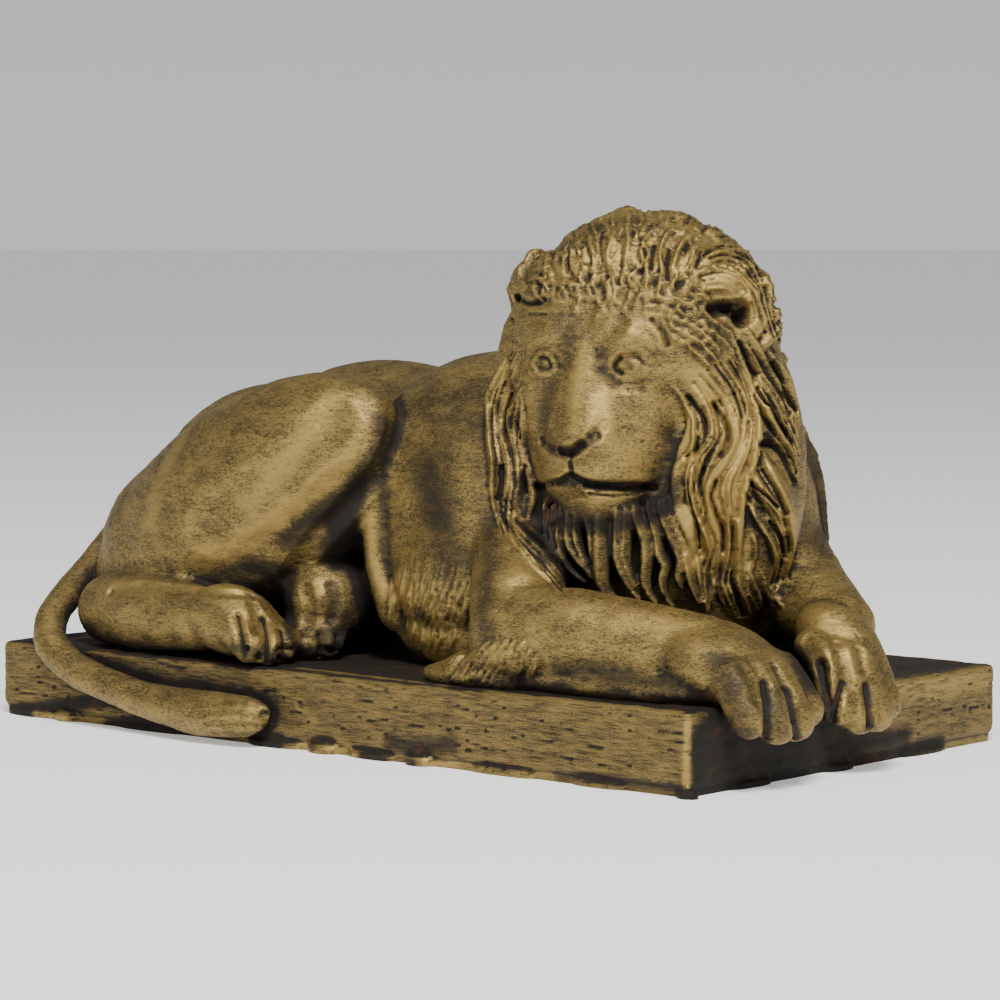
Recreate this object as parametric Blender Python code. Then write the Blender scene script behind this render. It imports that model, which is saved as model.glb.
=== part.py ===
"""A lion lying on a low rectangular plinth, cast in one piece. Metres, +Z up, +X towards the paws."""

import math

import bmesh
import bpy
import numpy as np
from mathutils import Matrix, Vector
from mathutils.bvhtree import BVHTree

# Driving dimensions, in metres
PLINTH_LENGTH = 0.120
PLINTH_WIDTH = 0.066
PLINTH_HEIGHT = 0.0093
PLINTH_ROUNDING = 0.0006
FOOTING_HEIGHT = 0.0010
FOOTING_INSET = 0.0003
FIGURE_HEIGHT = 0.060

# The figure is drawn on a grid of its own, 60 parts from the plinth's top to the crown of the mane.
# Its x is 60 at the plinth's front edge, its y is -33 at the plinth's right edge, its z is 0 on the plinth.
HEIGHT_PARTS = 60.0
FRONT_PARTS = 60.0
RIGHT_PARTS = 33.0
PART = FIGURE_HEIGHT / HEIGHT_PARTS

# Mesh fineness of the body, of the figure without its hair and of the whole figure, in metres
BODY_GRAIN = 0.0011
BED_GRAIN = 0.0008
FIGURE_GRAIN = 0.00045
FIGURE_TRIANGLES = 9000

# Points closer than this, in metres, are merged
WELD = 0.000005

# Gold-bronze paint over a dark ground
PAINT_COLOUR = (0.2, 0.14, 0.058, 1.0)
PAINT_ROUGHNESS = 0.5
PAINT_METALLIC = 0.6

# The head turns to the lion's right. Its own frame is side (to the lion's left), forward and up.
HEAD_YAW = -71.0
HEAD_CENTRE = Vector((28.5, -6.0, 0.0))
FORWARD = Vector((math.cos(math.radians(HEAD_YAW)), math.sin(math.radians(HEAD_YAW)), 0.0))
SIDE = Vector((-FORWARD.y, FORWARD.x, 0.0))
UP = Vector((0.0, 0.0, 1.0))

# Hair is laid along rays from the heart of the mane, in degrees of azimuth from FORWARD and of elevation
MANE_HEART = Vector((30.5, -5.0, 34.0))


def ball(bm, centre, radii, pitch=0.0, yaw=0.0):
    """An ellipsoid. Pitch lifts its front, yaw turns it to the lion's left, both in degrees."""
    turn = Matrix.Rotation(math.radians(yaw), 4, "Z") @ Matrix.Rotation(math.radians(-pitch), 4, "Y")
    matrix = Matrix.Translation(centre) @ turn @ Matrix.Diagonal((*radii, 1.0))
    bmesh.ops.create_icosphere(bm, subdivisions=3, radius=1.0, matrix=matrix)


def limb(bm, points, radii):
    """A round limb through the points, with its own radius at each."""
    spots = [Vector(p) for p in points]
    for spot, radius in zip(spots, radii):
        ball(bm, spot, (radius, radius, radius))
    for a, b, first, last in zip(spots, spots[1:], radii, radii[1:]):
        along = b - a
        turn = along.to_track_quat("Z", "Y").to_matrix().to_4x4()
        bmesh.ops.create_cone(
            bm,
            cap_ends=True,
            segments=24,
            radius1=first,
            radius2=last,
            depth=along.length,
            matrix=Matrix.Translation((a + b) / 2) @ turn,
        )


def in_head(side, forward, up):
    """A point of the head's own frame."""
    return HEAD_CENTRE + SIDE * side + FORWARD * forward + UP * up


def head_ball(bm, place, radii, pitch=0.0):
    """An ellipsoid in the head's frame, its radii in the order side, forward, up."""
    ball(bm, in_head(*place), (radii[1], radii[0], radii[2]), pitch=pitch, yaw=HEAD_YAW)


def trunk(bm):
    """The body from rump to breast, with the far thigh and the far upper foreleg."""
    ball(bm, (-37.5, 0, 16.5), (20.6, 16.4, 18.8))
    ball(bm, (-18, 1, 21), (27, 15, 17.9))
    ball(bm, (5, -1, 20.6), (22, 18, 20.1))
    ball(bm, (3, -9, 15), (13.8, 10, 16))
    ball(bm, (20, 0, 21), (19, 16.4, 18.2))
    ball(bm, (33.5, 6.8, 18), (14.2, 13, 20.2))
    ball(bm, (-27, -17.5, 18.4), (28.0, 10.0, 13.2), pitch=29)
    ball(bm, (-39.0, -15.5, 12.4), (14.4, 12.4, 13.8), pitch=12)
    ball(bm, (-26, 13, 15), (26.4, 11, 13.8), pitch=20)
    ball(bm, (12, -11, 19), (12.4, 9.6, 16.4))
    ball(bm, (10, -13.2, 11), (13, 8.6, 9.6))
    limb(bm, [(36, 12, 14), (45, 9, 10.4)], [8.9, 7.0])


def folds(bm):
    """The near thigh, the skin fold in front of it and the near upper arm, crisper than the trunk."""
    ball(bm, (-26.8, -18.5, 18.5), (30.2, 10.5, 14.3), pitch=29)
    limb(bm, [(-1.0, -16.2, 29), (-3.4, -17.0, 21), (-2.8, -17.0, 13), (-0.6, -16.4, 6.5)], [1.8, 2.3, 2.6, 2.8])
    limb(bm, [(16.5, -12.5, 17), (26, -23.6, 9.0)], [5.8, 6.2])


def paw(bm, wrist, reach, width, toe):
    """Four toes side by side at the end of a reach from the wrist. The middle two go a little further."""
    start = Vector(wrist)
    reach = Vector(reach)
    across = Vector((-reach.y, reach.x, 0.0)).normalized()
    for place in (-1.0, -1 / 3, 1 / 3, 1.0):
        share = 1.0 - 0.16 * place * place
        spread = place * (width / 2 - toe)
        end = start + reach * share + across * spread
        knuckle = start + reach * (share * 0.62) + across * (spread * 0.85)
        knuckle.z = start.z + reach.z * 0.18
        limb(bm, [start + across * (place * toe), knuckle, end], [toe, toe, toe * 0.95])


def hind_legs(bm):
    limb(bm, [(-44.3, -26.5, 4.8), (-35, -28.5, 5), (-24, -29.8, 5)], [4.9, 5.2, 4.3])
    ball(bm, (-18.5, -29.4, 5.2), (7, 5.2, 4.6), pitch=-12)
    paw(bm, (-20, -29.6, 5.0), (9.5, 0, -3.0), 11.0, 2.4)
    ball(bm, (-12.4, -17, 7.5), (5.8, 6.6, 5.6))
    paw(bm, (-13.2, -17.5, 5), (2.5, -5.5, -3.0), 9.5, 2.3)


def forelegs(bm):
    limb(bm, [(27.6, -25.6, 6.4), (38, -24.8, 6.4), (53, -21.8, 5.4)], [6.3, 6.0, 4.9])
    ball(bm, (25.0, -25.6, 1.8), (10.5, 4.6, 3.2))
    ball(bm, (41, -25.6, 1.2), (19, 4.6, 2.2))
    ball(bm, (56.5, -21.2, 4.2), (8.0, 7.6, 4.6), pitch=-25)
    paw(bm, (56, -21, 4.4), (9.5, 0.3, -6.6), 17.0, 2.6)
    limb(bm, [(44, 9.6, 10.8), (55.5, 2, 6.8)], [6.7, 5.4])
    ball(bm, (57.5, -2.5, 5.0), (7.0, 6.4, 5.0), pitch=-35)
    paw(bm, (57.4, -3.0, 5.0), (8.1, -1.6, -8.2), 14.0, 2.4)


def mane_mass(bm):
    head_ball(bm, (2.7, -1.5, 41.9), (17.2, 13.0, 16.9))
    head_ball(bm, (3.8, -3.0, 26.0), (20.2, 11.5, 27.0))
    head_ball(bm, (0.5, -3, 17.0), (13.0, 10.5, 9.5))
    head_ball(bm, (-13.2, 0.6, 33), (4.2, 4.6, 14.5))
    head_ball(bm, (-11.2, 3.4, 21), (3.8, 4.4, 8.5))


def head(bm):
    head_ball(bm, (0, 5, 38), (11.4, 8.5, 13))
    head_ball(bm, (0, 7.6, 43.5), (8.5, 5.4, 6))
    head_ball(bm, (0, 8.5, 37), (6.4, 6.0, 9.0))
    head_ball(bm, (0, 9.0, 30.5), (8.0, 6.6, 7.5))
    for side in (-1, 1):
        head_ball(bm, (side * 5.4, 10.6, 42.0), (4.0, 2.2, 2.0))
        head_ball(bm, (side * 5.7, 11.2, 39.2), (2.0, 1.8, 1.4))
        head_ball(bm, (side * 7.2, 7.4, 34.0), (4.4, 4.8, 7.0))
        head_ball(bm, (side * 3.9, 13.3, 28.2), (4.4, 4.6, 4.4))
        head_ball(bm, (side * 11.8, -0.3, 48.8), (3.2, 2.6, 3.8))
    limb(bm, [in_head(0, 10.6, 42), in_head(0, 13.6, 37), in_head(0, 15.8, 32.0)], [3.3, 3.1, 3.3])
    head_ball(bm, (0, 16.8, 31.0), (3.4, 2.4, 2.4))
    head_ball(bm, (0, 9.8, 22.8), (6.2, 4.6, 2.6))
    head_ball(bm, (0, 8.8, 25.6), (7.6, 5.2, 2.6))


def tail(bm):
    knots = [(-50, -3, 19), (-56.6, -9, 16.6), (-55.9, -16, 12.4), (-54.7, -22, 8.6), (-53.1, -27.5, 5.6),
             (-51.3, -31.5, 3.1), (-48.5, -34, 0.1), (-43.1, -34.8, -2.6), (-36, -35, -4.4),
             (-28.4, -35, -5.8), (-18.8, -35.2, -6.5), (-10.5, -35.2, -6.3), (-7.6, -35.2, -5.7)]
    radii = [3.4, 2.6, 2.2, 2.1, 2.1, 2.2, 2.5, 2.7, 2.8, 3.1, 3.3, 2.7, 1.5]
    path = flowing(knots, 3 * len(knots) - 2)
    widths = flowing([(r, 0, 0) for r in radii], len(path))
    limb(bm, path, [w.x for w in widths])


def flowing(knots, count):
    """Points evenly spaced in step along a smooth curve through the knots."""
    knots = [Vector(k) for k in knots]
    ends = [knots[0] * 2 - knots[1], *knots, knots[-1] * 2 - knots[-2]]
    points = []
    for i in range(count):
        place = i / (count - 1) * (len(knots) - 1)
        step = min(int(place), len(knots) - 2)
        t = place - step
        a, b, c, d = ends[step:step + 4]
        points.append(
            (b * 2 + (c - a) * t + (a * 2 - b * 5 + c * 4 - d) * t ** 2 + (b * 3 - a - c * 3 + d) * t ** 3) / 2
        )
    return points


def lock(bm, points, outward, width, height):
    """A closed strand of hair along the points, wide across the surface, that thins to its tip."""
    rings = []
    for i, (point, out) in enumerate(zip(points, outward)):
        t = i / (len(points) - 1)
        along = (points[min(i + 1, len(points) - 1)] - points[max(i - 1, 0)]).normalized()
        across = along.cross(out).normalized()
        out = across.cross(along)
        full = min(1.0, 0.55 + 2.2 * t) * (1.0 - 0.88 * max(0.0, (t - 0.5) / 0.5) ** 1.6)
        ring = []
        for k in range(8):
            angle = math.tau * k / 8
            offset = across * (math.cos(angle) * width / 2 * full) + out * (math.sin(angle) * height * full)
            ring.append(bm.verts.new(point + offset))
        rings.append(ring)
    for lower, upper in zip(rings, rings[1:]):
        for k in range(8):
            bm.faces.new((lower[k], lower[(k + 1) % 8], upper[(k + 1) % 8], upper[k]))
    bm.faces.new(rings[0][::-1])
    bm.faces.new(rings[-1])


def laid(bed, azimuth, elevation):
    """The bed's outermost point along a ray from the heart of the mane, and the outward direction there.

    A ray that is still inside the body where the mane ends stops there.
    """
    a = math.radians(azimuth)
    e = math.radians(elevation)
    ray = (FORWARD * math.cos(a) + SIDE * math.sin(a)) * math.cos(e) + UP * math.sin(e)
    limit = 26.0 + 0.25 * max(0.0, -elevation - 20.0)
    found = (MANE_HEART + ray * limit, ray)
    start = 0.0
    while start < limit:
        spot, out, _, distance = bed.ray_cast(MANE_HEART + ray * start, ray, limit - start)
        if spot is None:
            break
        if out.dot(ray) > 0:
            found = (spot, out)
        start += distance + 0.01
    return found


def laid_lock(bm, bed, knots, width, height):
    """A lock along knots of azimuth and elevation."""
    spots = [laid(bed, k.x, k.y) for k in flowing([(*k, 0.0) for k in knots], 12)]
    lock(bm, [s[0] for s in spots], [s[1] for s in spots], width, height)


def fan(bm, bed, first, last, count, width, height):
    """Locks spread evenly between two of them."""
    for i in range(count):
        share = i / (count - 1)
        knots = [(a[0] + (b[0] - a[0]) * share, a[1] + (b[1] - a[1]) * share) for a, b in zip(first, last)]
        laid_lock(bm, bed, knots, width, height)


def face_hair(bm, bed):
    """The long waved locks that frame the face, and the shorter ones behind and below them."""
    fan(bm, bed,
        [(44, 24), (50, 8), (57, -3), (56, -16), (47, -28), (46, -41), (52, -49), (54, -60)],
        [(46, 34), (67, 19), (77, 2), (77, -8), (75, -18), (71, -33), (70, -43), (68, -56)],
        5, 2.7, 1.3)
    fan(bm, bed,
        [(-62, 26), (-52, 10), (-54, -6), (-58, -16), (-51, -30), (-46, -38), (-42, -44), (-36, -51)],
        [(-76, 36), (-74, 16), (-71, -2), (-62, -17), (-57, -27), (-53, -36), (-46, -46), (-44, -56)],
        4, 2.4, 1.2)
    fan(bm, bed, [(78, 36), (88, 22), (95, 5), (98, -12)], [(79, 4), (81, -8), (86, -19), (92, -29)], 4, 2.6, 1.3)
    fan(bm, bed,
        [(76, -17), (87, -24), (94, -36), (91, -45), (83, -53)],
        [(72, -32), (81, -38), (88, -46), (87, -54), (84, -60)],
        3, 2.8, 1.4)
    fan(bm, bed,
        [(60, -52), (62, -60), (66, -66), (74, -70)],
        [(76, -48), (80, -56), (82, -62), (88, -66)],
        4, 1.8, 1.2)


def beard(bm):
    """Waved strands that hang clear of the chest from the jaw to the foreleg."""
    count = 9
    for i in range(count):
        top = -6.2 + 16.6 * i / (count - 1)
        high = 21.5 + max(0.0, top - 5.0) * 0.5
        low = 10.0 + 1.0 * (i % 2)
        knots = [
            in_head(top, 10.2 - 0.035 * top * top, high),
            in_head(top - 0.3, 11.2 - 0.035 * top * top, high - 3.2),
            in_head(top + 0.9, 10.8 - 0.03 * top * top, (high + low) / 2 - 0.5),
            in_head(top + 1.6, 10.0 - 0.03 * top * top, low + 2.0),
            in_head(top + 3.4, 9.2 - 0.03 * top * top, low),
        ]
        points = flowing(knots, 12)
        lock(bm, points, [FORWARD] * len(points), 1.7, 1.5)


def crown(bm, bed):
    """Short curling tufts in rows that start at the hairline and run back over the head."""
    for row, start in enumerate((56, 69, 82, 95)):
        count = 9 + row
        for i in range(count):
            turn = -70 + 140 * (i + 0.5 * (row % 2)) / (count - 0.5)
            curl = 8 if turn > 0 else -8
            knots = [polar(start, turn), polar(start + 9, turn + curl * 0.1), polar(start + 17, turn + curl)]
            laid_lock(bm, bed, knots, 3.0, 1.2)


def polar(angle, turn):
    """Azimuth and elevation of a direction, from its angle off FORWARD and its turn about it from UP."""
    a = math.radians(angle)
    t = math.radians(turn)
    forward = math.cos(a)
    side = math.sin(a) * math.sin(t)
    up = math.sin(a) * math.cos(t)
    return math.degrees(math.atan2(side, forward)), math.degrees(math.atan2(up, math.hypot(side, forward)))


def back_hair(bm, bed):
    """Rows of hanging locks round the back of the mane, each row under the one above."""
    for row, top in enumerate((66, 48, 30, 12, -6)):
        count = 9 + row
        for i in range(count):
            azimuth = 112 + 146 * (i + 0.5 * (row % 2)) / count
            sway = 5 * math.sin(i * 2.1 + row)
            knots = [(azimuth, top), (azimuth + sway, top - 8), (azimuth - sway, top - 17), (azimuth, top - 25)]
            laid_lock(bm, bed, knots, 3.4, 1.4)


def on_face(bed, side, up):
    """The bed's point straight in front of a place of the head."""
    return bed.ray_cast(in_head(side, 40.0, up), -FORWARD)[0]


def face_strokes(bed):
    """Grooves of the face as points, radius and depth: the mouth, the nostrils, the eyes."""
    mouth = [on_face(bed, u, 24.4 + 1.2 * math.exp(-((u / 1.6) ** 2)) + 0.012 * u * u) for u in range(-8, 9)]
    yield mouth, 0.8, 0.9
    yield [on_face(bed, 0, 26 + 0.8 * i) for i in range(4)], 0.6, 0.6
    for side in (-1, 1):
        yield [on_face(bed, side * u, z) for u, z in ((0.8, 29.0), (2.0, 29.4), (3.2, 30.6))], 0.9, 0.9
        turns = [math.tau * k / 12 for k in range(13)]
        yield [on_face(bed, side * 5.7 + 2.0 * math.cos(t), 39.2 + 1.2 * math.sin(t)) for t in turns], 0.6, 0.7
        yield [in_head(side * 12.6, 2.2, 48.4), in_head(side * 12.8, 2.0, 50.4)], 1.8, 1.8


def limb_strokes(bed):
    """Creases between the toes and behind the thigh."""
    yield [(1, -22, 32), (-3, -20, 27), (-5, -19, 20), (-5, -17, 12)], 1.6, 0.8


def stroked(mesh, strokes):
    """Presses grooves into the mesh along paths, each with its radius and its depth."""
    count = len(mesh.vertices)
    places = np.empty(count * 3)
    normals = np.empty(count * 3)
    mesh.vertices.foreach_get("co", places)
    mesh.vertices.foreach_get("normal", normals)
    places = places.reshape(-1, 3)
    normals = normals.reshape(-1, 3)
    moved = places.copy()
    for points, radius, depth in strokes:
        line = np.array([tuple(p) for p in points])
        near = np.all((places > line.min(axis=0) - radius) & (places < line.max(axis=0) + radius), axis=1)
        spots = places[near]
        gap = np.full(len(spots), np.inf)
        for a, b in zip(line, line[1:]):
            along = b - a
            share = np.clip((spots - a) @ along / (along @ along + 1e-9), 0.0, 1.0)
            gap = np.minimum(gap, np.linalg.norm(spots - a - share[:, None] * along, axis=1))
        press = depth * np.clip(1.0 - (gap / radius) ** 2, 0.0, 1.0) ** 1.5
        moved[near] -= normals[near] * press[:, None]
    mesh.vertices.foreach_set("co", moved.ravel())
    mesh.update()


def mesh_of(name, *makers):
    bm = bmesh.new()
    for make in makers:
        make(bm)
    mesh = bpy.data.meshes.new(name)
    bm.to_mesh(mesh)
    bm.free()
    return mesh


def worked(mesh, *steps):
    """The mesh after the modifiers, each given as its type and its settings."""
    piece = bpy.data.objects.new(mesh.name, mesh)
    bpy.context.scene.collection.objects.link(piece)
    for kind, settings in steps:
        modifier = piece.modifiers.new(kind.lower(), kind)
        for key, value in settings.items():
            setattr(modifier, key, value)
    done = bpy.data.meshes.new_from_object(piece.evaluated_get(bpy.context.evaluated_depsgraph_get()))
    bpy.data.objects.remove(piece)
    return done


def figure_mesh():
    body_mesh = worked(
        mesh_of("body", trunk),
        ("REMESH", {"mode": "VOXEL", "voxel_size": BODY_GRAIN / PART}),
        ("SMOOTH", {"factor": 0.5, "iterations": 24}),
    )
    bed_mesh = worked(
        mesh_of("bed", lambda bm: bm.from_mesh(body_mesh), folds, hind_legs, forelegs, mane_mass, head),
        ("REMESH", {"mode": "VOXEL", "voxel_size": BED_GRAIN / PART}),
        ("SMOOTH", {"factor": 0.5, "iterations": 5}),
    )
    bed = BVHTree.FromPolygons([v.co for v in bed_mesh.vertices], [p.vertices for p in bed_mesh.polygons])
    joined = mesh_of(
        "figure",
        lambda bm: bm.from_mesh(bed_mesh),
        tail,
        lambda bm: face_hair(bm, bed),
        beard,
        lambda bm: crown(bm, bed),
        lambda bm: back_hair(bm, bed),
    )
    fine = worked(
        joined,
        ("REMESH", {"mode": "VOXEL", "voxel_size": FIGURE_GRAIN / PART}),
        ("SMOOTH", {"factor": 0.5, "iterations": 1}),
    )
    stroked(fine, [*face_strokes(bed), *limb_strokes(bed)])
    rough = worked(fine, ("DECIMATE", {"ratio": FIGURE_TRIANGLES / (2 * len(fine.polygons))}))
    rough = cleaned(rough, WELD / PART)
    rough.transform(Matrix.Translation((0, 0, PLINTH_HEIGHT + FOOTING_HEIGHT)) @ anchored())
    return rough


def cleaned(mesh, distance):
    """The mesh's largest body, with points closer than the distance merged."""
    bm = bmesh.new()
    bm.from_mesh(mesh)
    bmesh.ops.remove_doubles(bm, verts=bm.verts, dist=distance)
    bmesh.ops.dissolve_degenerate(bm, edges=bm.edges, dist=distance)
    left = set(bm.verts)
    bodies = []
    while left:
        body = [left.pop()]
        for vert in body:
            for edge in vert.link_edges:
                other = edge.other_vert(vert)
                if other in left:
                    left.remove(other)
                    body.append(other)
        bodies.append(body)
    bodies.sort(key=len)
    for body in bodies[:-1]:
        bmesh.ops.delete(bm, geom=body, context="VERTS")
    bmesh.ops.triangulate(bm, faces=bm.faces)
    done = bpy.data.meshes.new(mesh.name)
    bm.to_mesh(done)
    bm.free()
    return done


def anchored():
    """From parts above the plinth's top to metres, fast to the plinth's front and right edges."""
    across = Vector((PLINTH_LENGTH / 2 - FRONT_PARTS * PART, RIGHT_PARTS * PART - PLINTH_WIDTH / 2, 0.0))
    return Matrix.Translation(across) @ Matrix.Scale(PART, 4)


def slab(name, length, width, low, high, rounding):
    """A flat block from one height to another, its edges slightly rounded."""
    bm = bmesh.new()
    size = Matrix.Diagonal((length, width, high - low, 1.0))
    bmesh.ops.create_cube(bm, size=1.0, matrix=Matrix.Translation((0, 0, (low + high) / 2)) @ size)
    bmesh.ops.bevel(bm, geom=list(bm.edges), offset=rounding, segments=2, profile=0.5, affect="EDGES")
    mesh = bpy.data.meshes.new(name)
    bm.to_mesh(mesh)
    bm.free()
    return mesh


def bronze_paint():
    """The one finish of the whole cast."""
    material = bpy.data.materials.new("bronze_paint")
    material.use_nodes = True
    surface = material.node_tree.nodes["Principled BSDF"]
    surface.inputs["Base Color"].default_value = PAINT_COLOUR
    surface.inputs["Roughness"].default_value = PAINT_ROUGHNESS
    surface.inputs["Metallic"].default_value = PAINT_METALLIC
    return material


def build():
    top = PLINTH_HEIGHT + FOOTING_HEIGHT
    plinth = slab("plinth", PLINTH_LENGTH, PLINTH_WIDTH, FOOTING_HEIGHT, top, PLINTH_ROUNDING)
    footing = slab(
        "footing",
        PLINTH_LENGTH - 2 * FOOTING_INSET,
        PLINTH_WIDTH - 2 * FOOTING_INSET,
        0.0,
        FOOTING_HEIGHT + 2 * PLINTH_ROUNDING,
        FOOTING_HEIGHT / 6,
    )
    done = figure_mesh()
    done.name = "lion_figurine"
    for mesh in (plinth, footing):
        other = bpy.data.objects.new(mesh.name, mesh)
        bpy.context.scene.collection.objects.link(other)
        done = worked(done, ("BOOLEAN", {"operation": "UNION", "solver": "EXACT", "object": other}))
        bpy.data.objects.remove(other)
    done = cleaned(done, WELD)
    done.materials.append(bronze_paint())
    return bpy.data.objects.new("lion_figurine", done)


for old in list(bpy.data.objects):
    bpy.data.objects.remove(old)
figure = build()
bpy.context.scene.collection.objects.link(figure)
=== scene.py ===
import itertools
import math
import random

import bmesh
import bpy
import numpy as np
from mathutils import Matrix, Vector
from mathutils.bvhtree import BVHTree
from mathutils.kdtree import KDTree


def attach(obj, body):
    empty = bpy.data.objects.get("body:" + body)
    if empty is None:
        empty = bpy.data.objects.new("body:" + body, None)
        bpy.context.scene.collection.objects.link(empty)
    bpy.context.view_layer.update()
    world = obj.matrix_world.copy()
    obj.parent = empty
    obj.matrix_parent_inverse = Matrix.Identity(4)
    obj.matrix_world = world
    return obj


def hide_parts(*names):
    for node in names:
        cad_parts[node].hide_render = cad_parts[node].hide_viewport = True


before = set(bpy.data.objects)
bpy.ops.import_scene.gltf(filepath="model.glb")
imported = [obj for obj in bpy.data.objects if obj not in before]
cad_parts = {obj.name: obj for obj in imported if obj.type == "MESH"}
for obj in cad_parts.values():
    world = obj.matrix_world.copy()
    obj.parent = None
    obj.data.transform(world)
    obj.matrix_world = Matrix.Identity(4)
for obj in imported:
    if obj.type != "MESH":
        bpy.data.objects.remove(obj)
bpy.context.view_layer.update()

# Sizes of the plinth and the figure, in metres, as the solid has them
PLINTH_LENGTH = 0.120
PLINTH_WIDTH = 0.066
PLINTH_HEIGHT = 0.0093
PLINTH_ROUNDING = 0.0010
FOOTING_HEIGHT = 0.0010
FIGURE_HEIGHT = 0.060

# The figure is drawn in parts, 60 from the plinth's top, at z 0, to the crown of the mane
HEIGHT_PARTS = 60.0

# The plinth's front edge is this far ahead of the figure's origin and its right edge this far to the right
FRONT_PARTS = 60.0
RIGHT_PARTS = 33.0
PART = FIGURE_HEIGHT / HEIGHT_PARTS

# Mesh fineness in parts, and the triangles that stay in the skin, the plinth and their coarse copies
BODY_GRAIN = 1.1
BED_GRAIN = 0.5
SKIN_GRAIN = 0.25
SKIN_TRIANGLES = 480000
PLINTH_GRAIN = 0.35
PLINTH_TRIANGLES = 150000
COARSE_TRIANGLES = 40000

# The head turns to the lion's right. Its own frame is side (to the lion's left), forward and up.
HEAD_YAW = -71.0
HEAD_CENTRE = Vector((28.5, -6.0, 0.0))
FORWARD = Vector((math.cos(math.radians(HEAD_YAW)), math.sin(math.radians(HEAD_YAW)), 0.0))
SIDE = Vector((-FORWARD.y, FORWARD.x, 0.0))
UP = Vector((0.0, 0.0, 1.0))

# The face's middle on the side axis of the head's frame, in parts
FACE_MIDDLE = -0.6

# Hair at the back is laid along rays from the heart of the mane, by azimuth from FORWARD and elevation
MANE_HEART = Vector((30.5, -5.0, 34.0))

# How far the mane reaches, in parts, and what it gains for each degree under the droop's start
MANE_REACH = 26.0
MANE_DROOP = 0.25
MANE_DROOP_START = -20.0

# What the mane's reach loses towards the lion's right
MANE_RIGHT_LOSS = 6.0

# The photograph's camera: its place in metres, its heading and dip in radians, its focal length in pixels
CAMERA_PLACE = Vector((0.31485, -0.36463, 0.06485))
CAMERA_HEADING = 0.708
CAMERA_DIP = 0.071
CAMERA_FOCUS = 3600.0
PICTURE_SIZE = 1000.0
SENSOR_WIDTH = 36.0

# The floor's half width in metres, and the strength of its own glow
FLOOR_REACH = 30.0
FLOOR_GLOW = 0.37

# The room's brightness at the horizon and high up, and the height at which it has faded
ROOM_LOW = 0.68
ROOM_HIGH = 0.22
ROOM_FADE = 0.4

chance = random.Random(5)


def unit_ball():
    bm = bmesh.new()
    bmesh.ops.create_icosphere(bm, subdivisions=4, radius=1.0)
    mesh = bpy.data.meshes.new("unit_ball")
    bm.to_mesh(mesh)
    bm.free()
    return mesh


UNIT_BALL = unit_ball()
LIMB_SIDES = 32


def ball(bm, centre, radii, pitch=0.0, yaw=0.0):
    """An ellipsoid. Pitch lifts its front, yaw turns it to the lion's left, both in degrees."""
    turn = Matrix.Rotation(math.radians(yaw), 4, "Z") @ Matrix.Rotation(math.radians(-pitch), 4, "Y")
    shape = UNIT_BALL.copy()
    shape.transform(Matrix.Translation(centre) @ turn @ Matrix.Diagonal((*radii, 1.0)))
    bm.from_mesh(shape)
    bpy.data.meshes.remove(shape)


def limb(bm, points, radii):
    """A round limb through the points, with its own radius at each."""
    spots = [Vector(p) for p in points]
    for spot, radius in zip(spots, radii):
        ball(bm, spot, (radius, radius, radius))
    for a, b, first, last in zip(spots, spots[1:], radii, radii[1:]):
        turn = (b - a).to_track_quat("Z", "Y")
        rings = []
        for spot, radius in ((a, first), (b, last)):
            ring = []
            for k in range(LIMB_SIDES):
                angle = math.tau * k / LIMB_SIDES
                rim = turn @ Vector((math.cos(angle), math.sin(angle), 0.0)) * radius
                ring.append(bm.verts.new(spot + rim))
            rings.append(ring)
        bridged(bm, rings)


def bridged(bm, rings):
    """Closes a row of rings into one capped body."""
    count = len(rings[0])
    for lower, upper in zip(rings, rings[1:]):
        for k in range(count):
            bm.faces.new((lower[k], lower[(k + 1) % count], upper[(k + 1) % count], upper[k]))
    bm.faces.new(rings[0][::-1])
    bm.faces.new(rings[-1])


def in_head(side, forward, up):
    """A point given in the head's own frame."""
    return HEAD_CENTRE + SIDE * side + FORWARD * forward + UP * up


def head_ball(bm, place, radii):
    """An ellipsoid in the head's frame, its radii in the order side, forward, up."""
    ball(bm, in_head(*place), (radii[1], radii[0], radii[2]), yaw=HEAD_YAW)


def trunk(bm):
    """The body from rump to breast, with the thighs and the upper forelegs."""
    ball(bm, (-37.5, 0, 16.5), (20.6, 16.4, 18.8))
    ball(bm, (-18, 1, 21), (27, 15, 17.9))
    ball(bm, (5, -1, 20.6), (22, 18, 20.1))
    ball(bm, (3, -9, 15), (13.8, 10, 16))
    ball(bm, (20, 0, 21), (19, 16.4, 18.2))
    ball(bm, (33.5, 6.8, 18), (14.2, 13, 20.2))
    ball(bm, (-27, -17.5, 18.4), (28.0, 10.0, 13.2), pitch=29)
    ball(bm, (-39.0, -15.5, 12.4), (14.4, 12.4, 13.8), pitch=12)
    ball(bm, (-26, 13, 15), (26.4, 11, 13.8), pitch=20)
    ball(bm, (12, -11, 19), (12.4, 9.6, 16.4))
    ball(bm, (10, -13.2, 11), (13, 8.6, 9.6))
    limb(bm, [(36, 12, 14), (45, 9, 10.4)], [8.9, 7.0])


def folds(bm):
    """The near thigh, the skin fold in front of it and the near upper arm, crisper than the trunk."""
    ball(bm, (-26.8, -18.5, 18.5), (30.2, 10.5, 14.3), pitch=29)
    skin_fold = [(-1.0, -16.2, 29), (-3.4, -17.0, 21), (-2.8, -17.0, 13), (-0.6, -16.4, 6.5)]
    limb(bm, skin_fold, [1.8, 2.3, 2.6, 2.8])
    limb(bm, [(16.5, -12.5, 17), (26, -23.6, 9.0)], [5.8, 6.2])
    ball(bm, (10, -15.5, 4.4), (11, 4.4, 4.8))


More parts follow.
